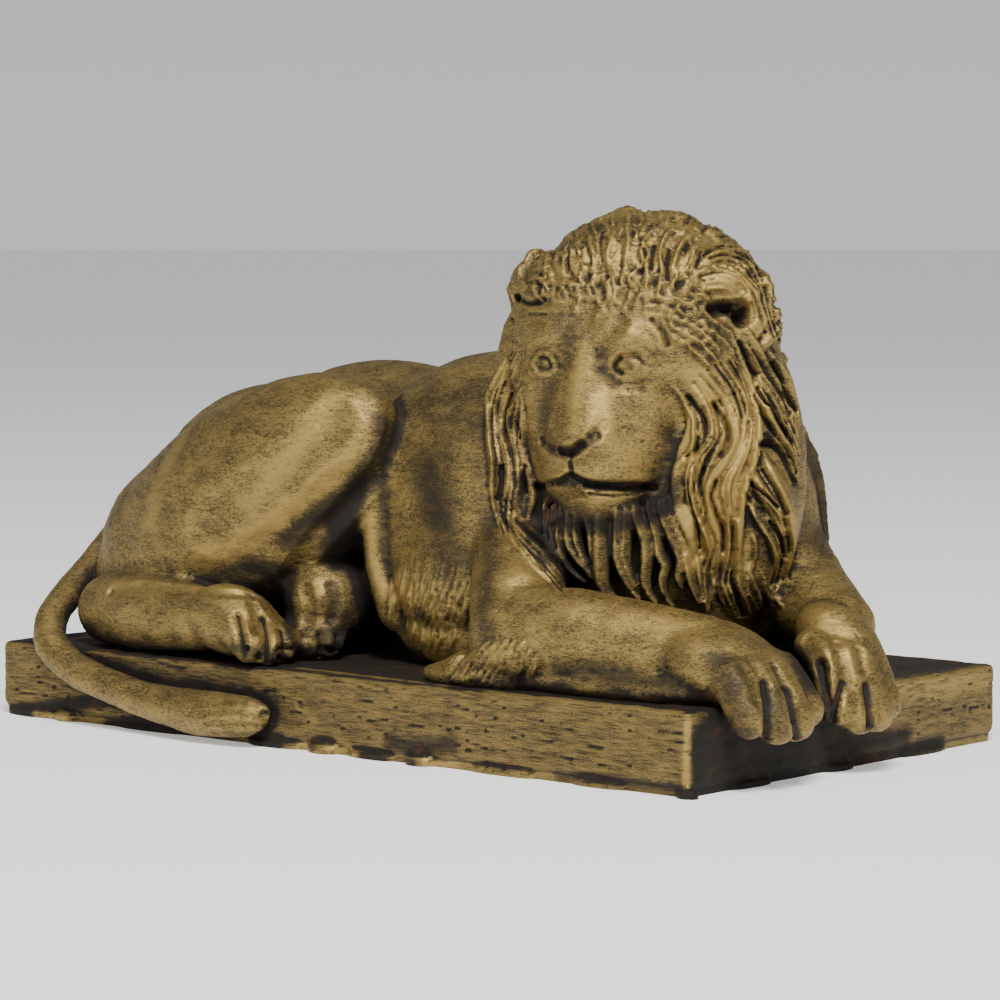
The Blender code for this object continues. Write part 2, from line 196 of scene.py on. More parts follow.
def paw(bm, wrist, reach, width, toe):
    """Four toes side by side at the end of a reach from the wrist. The middle two go a little further."""
    start = Vector(wrist)
    reach = Vector(reach)
    across = Vector((-reach.y, reach.x, 0.0)).normalized()
    for place in (-1.0, -1 / 3, 1 / 3, 1.0):
        share = 1.0 - 0.16 * place * place
        spread = place * (width / 2 - toe)
        end = start + reach * share + across * spread
        knuckle = start + reach * (share * 0.62) + across * (spread * 0.85)
        knuckle.z = start.z + reach.z * 0.18
        limb(bm, [start + across * (place * toe), knuckle, end], [toe, toe, toe * 0.95])


def hind_legs(bm):
    """The near hind leg along the plinth, and the far hind paw that shows under the belly."""
    limb(bm, [(-44.3, -26.5, 4.8), (-35, -28.5, 5), (-24, -29.8, 5)], [4.9, 5.2, 4.3])
    ball(bm, (-18.5, -29.4, 5.2), (7, 5.2, 4.6), pitch=-12)
    paw(bm, (-20, -29.6, 5.0), (9.5, 0, -3.0), 11.0, 2.4)
    ball(bm, (-12.4, -17, 7.5), (5.8, 6.6, 5.6))
    paw(bm, (-13.2, -17.5, 5), (2.5, -5.5, -3.0), 9.5, 2.3)


def forelegs(bm):
    """The right foreleg with its flat furry elbow, and the left one with its elbow behind the chest."""
    limb(bm, [(27.6, -25.6, 6.4), (38, -24.8, 6.4), (53, -21.8, 5.4)], [6.3, 6.0, 4.9])
    ball(bm, (25.0, -25.6, 2.2), (10.5, 4.6, 3.0), pitch=10)
    ball(bm, (23.4, -27.3, 0.8), (9.8, 3.7, 2.1))
    ball(bm, (41, -25.6, 1.2), (19, 4.6, 2.2))
    ball(bm, (56.5, -21.2, 4.2), (8.0, 7.6, 4.6), pitch=-25)
    paw(bm, (56, -21, 4.4), (9.2, 0.3, -6.6), 17.0, 2.6)
    ball(bm, (37, 13.5, 3.2), (9.5, 5.5, 4.6))
    limb(bm, [(44, 9.8, 10.8), (55.8, 3.6, 6.8)], [6.5, 4.4])
    ball(bm, (58.0, 0.2, 4.8), (6.8, 4.5, 4.6), pitch=-38)
    paw(bm, (57.4, -2.0, 5.0), (7.6, -1.6, -8.2), 12.6, 2.3)


def mane_mass(bm):
    """The mane's smooth mass under its locks, and that of the far curtain."""
    head_ball(bm, (2.7, -1.5, 41.9), (16.6, 12.4, 16.3))
    head_ball(bm, (3.8, -3.0, 26.0), (19.5, 10.8, 26.4))
    head_ball(bm, (0.5, -3, 17.0), (12.4, 9.9, 8.8))
    head_ball(bm, (-13.2, 0.6, 33), (4.2, 4.6, 14.5))
    head_ball(bm, (-11.2, 3.4, 21), (3.8, 4.4, 8.5))


# Broad sheets of hair under the locks, as pixels of the photograph from root to tip
CHEEK_SHEET = [(712, 340), (722, 385), (726, 430), (716, 470), (712, 510), (718, 550), (712, 580)]
SWEEP_SHEET = [(757, 462), (776, 503), (784, 545), (778, 585)]
EAR_SHEET = [(706, 285), (740, 280), (758, 310), (770, 350), (784, 400)]


def hair_sheets(bm, bed):
    laid(bm, bed.seen, CHEEK_SHEET, 9.0, 1.3, 0)
    laid(bm, bed.seen, SWEEP_SHEET, 5.5, 1.6, 0)
    laid(bm, bed.seen, EAR_SHEET, 5.0, 1.6, 0)


# The face's reach forward at distances to each side of its middle, row by row from the hairline down
FACE_COLUMNS = (0.0, 1.8, 3.6, 5.8, 8.5, 11.8)
FACE_ROWS = [
    (53.0, (5.0, 5.0, 4.9, 4.4, 3.0, 0.5)),
    (49.5, (8.6, 8.6, 8.5, 8.0, 6.8, 4.2)),
    (46.5, (10.3, 10.4, 10.4, 10.0, 8.6, 5.8)),
    (43.6, (10.8, 11.0, 11.5, 11.5, 10.0, 6.9)),
    (42.0, (10.9, 11.2, 11.4, 11.3, 10.2, 7.2)),
    (40.6, (11.3, 11.4, 10.7, 10.5, 9.7, 7.4)),
    (39.2, (11.8, 11.8, 10.5, 10.6, 9.6, 7.6)),
    (37.2, (12.3, 12.3, 11.1, 10.4, 9.7, 7.6)),
    (34.2, (13.3, 13.3, 12.0, 10.6, 9.6, 6.6)),
    (31.2, (14.6, 14.4, 13.0, 11.0, 9.2, 5.4)),
    (29.6, (15.1, 14.8, 13.4, 11.3, 8.9, 4.6)),
    (28.4, (14.8, 14.4, 13.4, 11.4, 8.6, 4.0)),
    (27.4, (13.9, 13.8, 13.2, 11.5, 8.4, 3.4)),
    (25.4, (14.1, 14.0, 13.3, 11.5, 7.9, 2.4)),
    (24.2, (13.7, 13.6, 12.9, 10.8, 6.2, 0.5)),
    (23.2, (12.7, 12.6, 12.0, 9.4, 2.5, -3.0)),
    (21.2, (12.5, 12.3, 11.4, 8.0, 0.5, -4.0)),
    (19.6, (11.6, 11.3, 10.0, 6.0, -1.0, -4.0)),
    (18.2, (8.6, 8.2, 6.8, 3.2, -2.5, -4.0)),
]

# The step of the face's grid, and where its closed back lies, in parts
FACE_STEP = 0.4
FACE_BACK = -5.0


def softened(sheet, rounds):
    """A grid of values, each averaged with its neighbours a number of times."""
    for _ in range(rounds):
        sheet[1:-1] = (sheet[:-2] + sheet[1:-1] * 2 + sheet[2:]) / 4
        sheet[:, 1:-1] = (sheet[:, :-2] + sheet[:, 1:-1] * 2 + sheet[:, 2:]) / 4
    return sheet


def face_form(bm):
    """The broad flat face with its long nose, as one sheet over a closed back."""
    heights = np.array([row[0] for row in FACE_ROWS])
    ups = np.arange(heights[-1], heights[0], FACE_STEP)
    sides = np.arange(-FACE_COLUMNS[-1], FACE_COLUMNS[-1] + 0.01, FACE_STEP)
    rows = np.array([np.interp(np.abs(sides), FACE_COLUMNS, row[1]) for row in FACE_ROWS])
    sheet = np.array([np.interp(ups, heights[::-1], rows[::-1, k]) for k in range(len(sides))])
    sheet = softened(sheet, 2)
    layers = []
    for level in (sheet, np.full_like(sheet, FACE_BACK)):
        layers.append([
            [bm.verts.new(in_head(FACE_MIDDLE + side, level[i, j], up)) for j, up in enumerate(ups)]
            for i, side in enumerate(sides)
        ])
    front, back = layers
    wide = len(sides) - 1
    high = len(ups) - 1
    for i in range(wide):
        for j in range(high):
            bm.faces.new((front[i][j], front[i + 1][j], front[i + 1][j + 1], front[i][j + 1]))
            bm.faces.new((back[i][j], back[i][j + 1], back[i + 1][j + 1], back[i + 1][j]))
    rim = [(i, 0) for i in range(wide)] + [(wide, j) for j in range(high)]
    rim += [(i, high) for i in range(wide, 0, -1)] + [(0, j) for j in range(high, 0, -1)]
    for (i, j), (k, m) in zip(rim, rim[1:] + rim[:1]):
        bm.faces.new((front[k][m], front[i][j], back[i][j], back[k][m]))


def head(bm):
    """The face, and the masses of the far ear, the crown, the far curtain and the beard."""
    face_form(bm)
    head_ball(bm, (-11.9, 0.6, 49.6), (3.3, 2.8, 3.2))
    head_ball(bm, (0.6, -1.2, 56.2), (2.9, 2.6, 2.4))
    head_ball(bm, (-11.8, 1.2, 31.0), (3.3, 4.6, 12.0))
    head_ball(bm, (1.5, 5.4, 16.0), (9.0, 2.6, 7.0))


def tail(bm):
    """The tail from the rump over the plinth's edge and along its side."""
    knots = [(-50, -3, 19), (-56.6, -9, 16.6), (-55.9, -16, 12.4), (-54.7, -22, 8.6), (-53.1, -27.5, 5.6),
             (-51.3, -31.5, 3.1), (-48.5, -34, 0.1), (-43.1, -34.8, -2.6), (-36, -35, -4.4),
             (-28.4, -35, -5.8), (-18.8, -35.2, -6.5), (-10.5, -35.2, -6.3), (-7.6, -35.2, -5.7)]
    radii = [3.4, 2.6, 2.2, 2.1, 2.1, 2.2, 2.3, 2.3, 2.3, 2.4, 3.0, 2.6, 1.2]
    path = flowing(knots, 3 * len(knots) - 2)
    widths = flowing([(r, 0, 0) for r in radii], len(path))
    limb(bm, path, [w.x for w in widths])


def flowing(knots, count):
    """Points evenly spaced in step along a smooth curve through the knots."""
    knots = [Vector(k) for k in knots]
    ends = [knots[0] * 2 - knots[1], *knots, knots[-1] * 2 - knots[-2]]
    points = []
    for i in range(count):
        place = i / (count - 1) * (len(knots) - 1)
        step = min(int(place), len(knots) - 2)
        t = place - step
        a, b, c, d = ends[step:step + 4]
        square = a * 2 - b * 5 + c * 4 - d
        cube = b * 3 - a - c * 3 + d
        points.append((b * 2 + (c - a) * t + square * t ** 2 + cube * t ** 3) / 2)
    return points


def flat(pixels):
    """Pixels as points of the picture's plane."""
    return [Vector((*p[:2], 0.0)) for p in pixels]


def between(first, last, share):
    """Pixels a share of the way from one line of them to another."""
    return [a.lerp(b, share) for a, b in zip(flat(first), flat(last))]


LOCK_SIDES = 20

# Traced locks are laid this much wider than their tables say, and the beard's strands this much
LOCK_FULLNESS = 1.3
BEARD_FULLNESS = 1.5

# A lock thins from this share of its length on, and its ridges are this deep as a share of its height
TAPER_START = 0.45
TAPER_POWER = 1.7
RIDGE_DEPTH = 0.22


def lock(bm, points, outward, width, height, ridges, root=0.25, tip=0.12):
    """A closed ridged strand of hair along the points, wide across the surface, that thins to its ends."""
    rings = []
    for i, (point, out) in enumerate(zip(points, outward)):
        t = i / (len(points) - 1)
        along = (points[min(i + 1, len(points) - 1)] - points[max(i - 1, 0)]).normalized()
        across = along.cross(out).normalized()
        out = across.cross(along)
        thinned = max(0.0, (t - TAPER_START) / (1.0 - TAPER_START)) ** TAPER_POWER
        full = min(1.0, root + 3.0 * t) * (1.0 - (1.0 - tip) * thinned)
        ring = []
        for k in range(LOCK_SIDES):
            angle = math.tau * k / LOCK_SIDES
            wide = math.cos(angle)
            high = math.sin(angle)
            if high > 0 and ridges:
                high *= 1.0 - RIDGE_DEPTH * (1.0 + math.cos(math.pi * ridges * (wide + 1.0)))
            spot = point + across * (wide * width / 2 * full) + out * (high * height * full)
            ring.append(bm.verts.new(spot))
        rings.append(ring)
    bridged(bm, rings)


# Between these columns and above this row of the photograph, hair at the mane's far edge stays on the mane
FAR_EDGE_COLUMNS = (480.0, 540.0)
FAR_EDGE_LOW = 540.0

# That edge's middle in the head's frame, and how far behind it the mane still reaches
FAR_EDGE_PLACE = (-12.0, 2.0, 30.0)
FAR_EDGE_DEPTH = 6.0


class Bed:
    """The smooth form that the hair is laid on."""

    def __init__(self, mesh):
        self.tree = BVHTree.FromPolygons([v.co for v in mesh.vertices], [p.vertices for p in mesh.polygons])

    def around(self, azimuth, elevation):
        """The outermost point along a ray from the heart of the mane, and the outward direction there.

        A ray that is still inside the body where the mane ends stops there.
        """
        a = math.radians(azimuth)
        e = math.radians(elevation)
        ray = (FORWARD * math.cos(a) + SIDE * math.sin(a)) * math.cos(e) + UP * math.sin(e)
        limit = MANE_REACH + MANE_DROOP * max(0.0, MANE_DROOP_START - elevation)
        limit -= MANE_RIGHT_LOSS * max(0.0, -math.sin(a)) * math.cos(e) ** 2
        found = (MANE_HEART + ray * limit, ray)
        start = 0.0
        while start < limit:
            spot, out, _, distance = self.tree.ray_cast(MANE_HEART + ray * start, ray, limit - start)
            if spot is None:
                break
            if out.dot(ray) > 0:
                found = (spot, out)
            start += distance + 0.01
        return found

    def seen(self, across, down):
        """The point that the photograph's camera sees at a pixel, and the outward direction there.

        Where the camera sees past the mane to the body behind it, the mane's edge beside the pixel.
        """
        start = camera_in_parts()
        ray = pixel_ray(across, down)
        spot, out, _, distance = self.tree.ray_cast(start, ray)
        reach = (in_head(*FAR_EDGE_PLACE) - start).dot(ray)
        beside_mane = FAR_EDGE_COLUMNS[0] < across < FAR_EDGE_COLUMNS[1] and down < FAR_EDGE_LOW
        if spot is None or (beside_mane and distance > reach + FAR_EDGE_DEPTH):
            spot, out, _, _ = self.tree.find_nearest(start + ray * reach)
        return spot, out


def camera_in_parts():
    return anchored().inverted() @ (CAMERA_PLACE - UP * (PLINTH_HEIGHT + FOOTING_HEIGHT))


def camera_axes():
    """The directions in which the camera looks, and to the right and the top of its picture."""
    look = Vector((
        -math.sin(CAMERA_HEADING) * math.cos(CAMERA_DIP),
        math.cos(CAMERA_HEADING) * math.cos(CAMERA_DIP),
        -math.sin(CAMERA_DIP),
    ))
    right = Vector((math.cos(CAMERA_HEADING), math.sin(CAMERA_HEADING), 0.0))
    return look, right, right.cross(look)


def pixel_ray(across, down):
    look, right, top = camera_axes()
    half = PICTURE_SIZE / 2
    return (look * CAMERA_FOCUS + right * (across - half) - top * (down - half)).normalized()


def laid(bm, find, knots, width, height, ridges, longest=math.inf):
    """A lock over the bed along knots that find takes to points of the bed.

    It is left out where it would step further than the longest step, from one form to another behind it.
    """
    spots = [find(k.x, k.y) for k in flowing(flat(knots), 16)]
    if max((b[0] - a[0]).length for a, b in zip(spots, spots[1:])) > longest:
        return
    outs = [s[1] for s in spots]
    last = len(outs) - 1
    outs = [
        (outs[max(i - 1, 0)] + outs[i] * 2 + outs[min(i + 1, last)]).normalized() for i in range(last + 1)
    ]
    lock(bm, [s[0] for s in spots], outs, width, height, ridges)


# Locks as their width and height in parts and their pixels in the photograph, from root to tip
NEAR_CURTAIN = [
    (0.9, 0.8, [(672, 384), (683, 397), (690, 412), (691, 430), (683, 448), (677, 466), (678, 486)]),
    (1.1, 0.9, [(684, 398), (693, 412), (698, 430), (693, 447), (684, 457)]),
    (1.5, 1.3, [(693, 385), (706, 402), (713, 420), (713, 437), (702, 452), (694, 464), (692, 480),
                (694, 500), (703, 524), (711, 543), (710, 560), (703, 578), (701, 594), (706, 608)]),
    (1.6, 1.2, [(706, 372), (722, 392), (734, 412), (738, 432), (734, 448), (724, 464), (712, 478),
                (706, 500), (714, 522), (719, 540), (717, 562), (713, 580), (715, 600)]),
    (1.9, 1.4, [(722, 364), (738, 388), (747, 412), (748, 436), (741, 456), (730, 474), (725, 492),
                (729, 511), (735, 529), (734, 548), (728, 568), (726, 586), (731, 603), (738, 616)]),
    (1.6, 1.3, [(738, 356), (751, 384), (755, 412), (756, 438), (751, 460), (744, 480), (738, 500),
                (738, 520), (737, 540), (737, 558), (739, 576), (745, 596), (753, 614)]),
    (1.7, 1.5, [(692, 456), (681, 463), (677, 483), (680, 504), (687, 521), (693, 536), (692, 553),
                (686, 570), (687, 586), (693, 600)]),
]
FAR_CURTAIN = [
    (1.2, 1.2, [(516, 345), (501, 372), (492, 404), (491, 440), (494, 466), (493, 491), (497, 515),
                (503, 533)]),
    (1.3, 1.1, [(520, 350), (509, 378), (500, 404), (498, 430), (503, 448), (509, 470), (507, 490),
                (502, 509), (506, 532)]),
    (1.1, 1.1, [(522, 388), (515, 408), (512, 428), (515, 456), (518, 481), (515, 507), (515, 534),
                (526, 551)]),
    (0.9, 1.2, [(522, 394), (526, 420), (525, 445), (530, 472), (535, 491), (533, 507), (527, 525)]),
    (0.8, 0.9, [(496, 500), (502, 522), (514, 542), (530, 560), (546, 578), (560, 594)]),
    (0.8, 1.0, [(500, 494), (507, 516), (520, 536), (537, 553), (553, 569), (568, 584)]),
    (0.8, 1.0, [(508, 498), (515, 516), (529, 533), (545, 550), (560, 564), (574, 577)]),
    (0.7, 0.8, [(516, 508), (524, 524), (538, 540), (553, 553), (568, 566)]),
]
TEMPLE_LOCKS = [
    (1.3, 1.4, [(742, 322), (752, 345), (768, 372), (785, 398), (797, 425)]),
    (1.2, 1.3, [(736, 332), (748, 356), (762, 382), (778, 405), (793, 440)]),
    (1.4, 1.4, [(752, 372), (758, 398), (768, 420), (780, 438), (795, 462)]),
    (1.5, 1.3, [(757, 404), (762, 420), (774, 436), (788, 450), (798, 476)]),
    (1.2, 1.2, [(765, 345), (780, 372), (792, 402), (799, 430)]),
]
SWEEP_LOCKS = [
    (2.3, 1.6, [(762, 448), (764, 466), (776, 488), (786, 512), (790, 540), (788, 566)]),
    (1.7, 1.6, [(753, 462), (755, 478), (768, 496), (783, 520), (790, 548), (784, 580)]),
    (1.2, 1.3, [(745, 494), (758, 515), (772, 537), (777, 560), (771, 584)]),
    (1.1, 1.1, [(756, 500), (770, 518), (782, 540), (785, 562), (779, 592)]),
    (0.5, 0.8, [(752, 530), (755, 550), (752, 572)]),
]
BIB_LOCKS = [
    (0.7, 1.0, [(716, 572), (713, 590), (712, 610)]),
    (0.8, 1.0, [(722, 570), (723, 586), (732, 606), (743, 622)]),
    (0.6, 1.0, [(721, 582), (722, 598), (731, 616)]),
    (0.8, 1.0, [(735, 566), (738, 584), (746, 604), (752, 622)]),
    (0.8, 1.0, [(748, 562), (751, 580), (759, 602), (757, 624)]),
    (0.8, 1.0, [(774, 578), (778, 594), (784, 610)]),
    (0.7, 1.0, [(768, 580), (772, 596), (776, 608)]),
]
EAR_LOCKS = [
    (0.9, 1.5, [(686, 286), (704, 278), (728, 276), (748, 288), (757, 308), (760, 330)]),
    (1.0, 1.6, [(694, 270), (714, 258), (740, 258), (760, 280), (768, 306), (778, 336)]),
    (1.0, 1.4, [(704, 254), (724, 244), (748, 254), (768, 286), (780, 318), (788, 348)]),
    (1.0, 1.2, [(690, 296), (702, 297), (714, 303)]),
    (0.5, 0.7, [(690, 291), (706, 284), (726, 283), (742, 294), (748, 310)]),
    (0.5, 0.7, [(698, 292), (712, 288), (728, 289), (738, 298)]),
]
CROWN_LOCKS = [
    (0.9, 1.2, [(546, 284), (549, 270), (551, 258), (558, 250)]),
    (0.8, 1.0, [(560, 282), (558, 266), (562, 252), (568, 242)]),
    (1.0, 1.2, [(578, 278), (575, 262), (579, 246), (582, 230)]),
    (0.9, 1.4, [(594, 276), (597, 258), (592, 242), (598, 226)]),
    (1.1, 1.3, [(613, 278), (610, 260), (614, 242), (616, 224)]),
    (1.1, 1.2, [(630, 282), (627, 264), (630, 246), (628, 228), (634, 214)]),
    (0.8, 1.4, [(640, 288), (648, 272), (642, 256), (648, 240), (662, 232), (672, 236)]),
    (0.8, 1.4, [(656, 290), (662, 274), (660, 258), (666, 240), (680, 231), (692, 238)]),
    (0.8, 1.4, [(668, 286), (673, 270), (678, 254), (686, 242), (698, 238), (706, 248)]),
    (0.8, 1.4, [(676, 284), (688, 268), (694, 254), (708, 246), (722, 252)]),
    (0.9, 1.3, [(684, 292), (696, 279), (708, 268), (726, 262), (740, 266)]),
    (0.9, 1.2, [(604, 212), (618, 206), (634, 206), (648, 212)]),
    (0.8, 1.2, [(660, 222), (674, 216), (690, 220), (702, 228)]),
]

# Small curls between the brow and the ear, row by row
CURL_ROWS = [
    [(654, 300), (682, 304), (706, 316), (728, 334), (742, 352)],
    [(658, 309), (682, 314), (704, 326), (722, 342), (734, 358)],
    [(664, 318), (684, 324), (704, 337), (720, 352)],
    [(668, 328), (686, 335), (704, 348), (714, 360)],
    [(672, 339), (686, 346), (700, 357), (708, 368)],
]

# The coat's rows at the belly and the elbow, each as its height and its left and right ends in pixels
BELLY_ROWS = [
    (566, 408, 450), (578, 394, 474), (590, 386, 480), (601, 386, 482), (612, 388, 480), (621, 391, 476),
    (630, 394, 468), (639, 400, 460), (648, 408, 452), (656, 416, 444),
]
ELBOW_ROWS = [(648, 480, 528), (656, 460, 536), (663, 446, 540), (670, 434, 538), (677, 430, 524)]

# The coat's spacing in pixels, and the longest step in parts along one of its tufts
COAT_SPACING = 6.5
COAT_STEP = 1.4


def even(pixels, count=9):
    """The pixels of a line, evenly spaced along a smooth curve."""
    line = flowing(flat(pixels), 4 * len(pixels))
    lengths = [0.0, *itertools.accumulate((b - a).length for a, b in zip(line, line[1:]))]
    places = np.linspace(0.0, lengths[-1], count)
    return list(zip(*(np.interp(places, lengths, [p[axis] for p in line]) for axis in (0, 1))))


def traced_locks(bm, bed, locks):
    for width, height, pixels in locks:
        laid(bm, bed.seen, pixels, width * LOCK_FULLNESS, height, 1)


def strands_between(bm, bed, locks, count, width, height):
    """Fine strands in the gaps between each lock and the next, a little wavy and of uneven length."""
    for (_, _, first), (_, _, last) in zip(locks, locks[1:]):
        for k in range(count):
            share = (k + 0.5) / count + chance.uniform(-0.08, 0.08)
            line = between(even(first), even(last), share)
            line = line[:chance.choice((7, 8, 9, 9))]
            sway = chance.uniform(-1.5, 1.5)
            line = [p + Vector((sway * math.sin(i * 1.3), 0.0, 0.0)) for i, p in enumerate(line)]
            wide = width * chance.uniform(0.75, 1.25)
            laid(bm, bed.seen, line, wide, height * chance.uniform(0.7, 1.1), 1)


def face_hair(bm, bed):
    """The long waved locks that frame the face, and the shorter ones behind and below them."""
    for locks in (NEAR_CURTAIN, FAR_CURTAIN, TEMPLE_LOCKS, SWEEP_LOCKS, BIB_LOCKS, EAR_LOCKS, CROWN_LOCKS):
        traced_locks(bm, bed, locks)
    strands_between(bm, bed, NEAR_CURTAIN[1:6], 3, 0.8, 0.9)
    strands_between(bm, bed, FAR_CURTAIN[:4], 2, 0.6, 0.8)
    strands_between(bm, bed, TEMPLE_LOCKS, 2, 0.8, 1.0)
    strands_between(bm, bed, SWEEP_LOCKS[:4], 2, 0.8, 1.1)
    strands_between(bm, bed, BIB_LOCKS, 1, 0.6, 0.9)
    strands_between(bm, bed, EAR_LOCKS[:3], 2, 0.8, 1.1)
    strands_between(bm, bed, CROWN_LOCKS[:11], 1, 0.8, 0.9)
    for row in CURL_ROWS:
        line = flowing(flat(row), 8)
        for a, b in zip(line, line[1:]):
            start = a + Vector((chance.uniform(-3, 3), chance.uniform(-3, 3), 0.0))
            middle = (a + b) / 2 - Vector((0.0, chance.uniform(1.0, 4.0), 0.0))
            end = b + Vector((chance.uniform(0, 7), chance.uniform(1, 7), 0.0))
            laid(bm, bed.seen, [start, middle, end], chance.uniform(0.6, 0.9), chance.uniform(0.5, 0.9), 1)


# Strands of the beard as their width in parts and their pixels, from root to tip
BEARD = [
    (0.5, [(546, 512), (546, 530), (551, 548), (560, 562), (570, 574)]),
    (0.6, [(554, 514), (552, 532), (557, 550), (565, 564), (578, 578)]),
    (0.6, [(561, 516), (559, 536), (563, 554), (568, 565), (577, 575), (586, 583)]),
    (0.8, [(569, 518), (569, 540), (576, 556), (585, 567), (592, 578)]),
    (0.8, [(577, 518), (577, 536), (581, 552), (588, 564)]),
    (0.6, [(588, 518), (591, 536), (592, 552), (594, 568)]),
    (1.6, [(600, 520), (600, 540), (600, 562), (601, 578), (605, 591), (617, 603)]),
    (0.9, [(618, 518), (617, 538), (618, 556), (622, 570), (629, 585), (640, 600)]),
    (1.0, [(627, 516), (626, 540), (625, 558), (631, 575), (637, 586)]),
    (1.1, [(636, 514), (644, 535), (647, 557), (645, 577), (648, 591), (657, 603)]),
    (0.8, [(650, 510), (657, 535), (660, 554), (666, 566), (662, 580), (665, 594), (673, 607)]),
    (0.9, [(661, 508), (668, 528), (675, 545), (681, 560), (678, 576), (682, 590)]),
    (0.5, [(668, 505), (677, 525), (684, 542), (687, 556)]),
    (0.7, [(688, 560), (690, 575), (694, 590), (700, 604)]),
    (0.7, [(700, 566), (703, 582), (706, 598), (708, 612)]),
]

# How far forward the beard's sheet stands in its middle, and how fast it bends back to the sides
BEARD_REACH = 10.9
BEARD_BEND = 0.032


def fringes(bm, bed):
    """Short tufts of coat under the belly, and at the elbow over the plinth."""
    for row, (down, left, right) in enumerate(BELLY_ROWS):
        rise = min(1.0, 0.3 + 0.25 * row)
        for i in range(int((right - left) / COAT_SPACING)):
            x = left + COAT_SPACING * (i + chance.uniform(0.2, 0.8))
            lean = 2.0 + 9.0 * (x - 385.0) / 95.0
            middle = (x + chance.uniform(-1, 1), down)
            knots = [(x + 2, down - 14), middle, (x - lean, down + chance.uniform(10, 18))]
            wide = chance.uniform(0.5, 0.9)
            laid(bm, bed.seen, knots, wide, rise * chance.uniform(0.3, 0.65), 1, COAT_STEP)
    for down, left, right in ELBOW_ROWS:
        for i in range(int((right - left) / COAT_SPACING)):
            x = left + COAT_SPACING * (i + chance.uniform(0.2, 0.8))
            lean = 14.0 - 10.0 * (x - 430.0) / 100.0
            tip = (x - lean * 0.6, down + chance.uniform(6, 12))
            knots = [(x + lean, down - 8), (x + lean * 0.3, down - 1), tip]
            wide = chance.uniform(0.6, 1.0)
            laid(bm, bed.seen, knots, wide, chance.uniform(0.4, 0.8), 1, COAT_STEP)


def on_beard(across, down):
    """The point of the beard's curved sheet that the photograph's camera sees at a pixel."""
    start = camera_in_parts()
    ray = pixel_ray(across, down)
    spot = MANE_HEART
    for _ in range(6):
        side = (spot - HEAD_CENTRE).dot(SIDE) - FACE_MIDDLE
        ahead = BEARD_REACH - BEARD_BEND * side * side
        spot = start + ray * ((ahead - (start - HEAD_CENTRE).dot(FORWARD)) / ray.dot(FORWARD))
    return spot


def beard(bm):
    """Waved strands that hang clear of the chest from the jaw to the foreleg."""
    for width, pixels in BEARD:
        hidden = (pixels[0][0], pixels[0][1] - 10)
        points = [on_beard(k.x, k.y) for k in flowing(flat([hidden, *pixels]), 18)]
        ahead = [FORWARD] * len(points)
        lock(bm, points, ahead, width * BEARD_FULLNESS, 1.0 + 0.4 * width, 1, root=0.7, tip=0.45)


# Rows of tufts over the brow, as the height, the left and the right end of each in pixels
TUFT_ROWS = [
    (315, 578, 664), (304, 560, 680), (293, 548, 690), (282, 545, 698), (271, 545, 706), (260, 548, 716),
    (249, 554, 724), (238, 562, 730), (227, 574, 728), (216, 590, 718),
]

# The tufts' spacing, and the pixel that they fan out from
TUFT_SPACING = 7.0
TUFT_FAN = (616.0, 400.0)


def tufts(bm, bed):
    """Short flame-like tufts that stand up from the hairline, each row over the one below."""
    for row, (down, left, right) in enumerate(TUFT_ROWS):
        rise = min(1.0, 0.3 + 0.3 * row)
        for i in range(int((right - left) / TUFT_SPACING) + 1):
            x = left + TUFT_SPACING * i + chance.uniform(-4, 4)
            y = down + chance.uniform(-5, 5) + 0.0016 * (x - TUFT_FAN[0]) ** 2
            up = Vector((x - TUFT_FAN[0] + chance.uniform(-46, 46), y - TUFT_FAN[1], 0.0)).normalized()
            across = Vector((-up.y, up.x, 0.0))
            long = chance.uniform(14, 30)
            curl = chance.choice((-1, 1, 1)) * chance.uniform(4, 11) * (1 if x > TUFT_FAN[0] else -1)
            start = Vector((x, y, 0.0))
            knots = [
                start,
                start + up * (long * 0.35) - across * (curl * 0.4),
                start + up * (long * 0.7),
                start + up * long + across * curl,
            ]
            laid(bm, bed.seen, knots, chance.uniform(0.5, 1.0), rise * chance.uniform(0.6, 1.2), 1)


# Rows over the crown, each by its angle off FORWARD, with their first turn and their spread, in degrees
CROWN_ROWS = (73, 83, 94, 106)
CROWN_TURN = -50
CROWN_SPREAD = 116


def crown(bm, bed):
    """Short curling tufts in rows that run back over the head."""
    for row, start in enumerate(CROWN_ROWS):
        count = 15 + row
        shift = 0.5 * (row % 2)
        for i in range(count):
            turn = CROWN_TURN + CROWN_SPREAD * (i + shift) / (count - 0.5) + chance.uniform(-2.5, 2.5)
            curl = 9 * math.sin(0.09 * turn + 1.3 * row) * chance.uniform(0.6, 1.4)
            long = chance.uniform(13, 19)
            knots = [
                polar(start, turn),
                polar(start + long * 0.5, turn - curl * 0.3),
                polar(start + long, turn + curl),
            ]
            high = 0.9 if row < 1 else 1.4
            laid(bm, bed.around, knots, 1.9 * chance.uniform(0.8, 1.25), high * chance.uniform(0.6, 1.2), 2)


def polar(angle, turn):
    """Azimuth and elevation of a direction, from its angle off FORWARD and its turn about it from UP."""
    a = math.radians(angle)
    t = math.radians(turn)
    forward = math.cos(a)
    side = math.sin(a) * math.sin(t)
    up = math.sin(a) * math.cos(t)
    azimuth = math.atan2(side, forward)
    elevation = math.atan2(up, math.hypot(side, forward))
    return Vector((math.degrees(azimuth), math.degrees(elevation), 0.0))


# Rows round the back, each by the elevation of its roots, with their first azimuth and spread, in degrees
BACK_ROWS = (72, 56, 40, 24, 8, -8)
BACK_AZIMUTH = 120
BACK_SPREAD = 138
BACK_WAVE = 4.5
BACK_KNOTS = 7


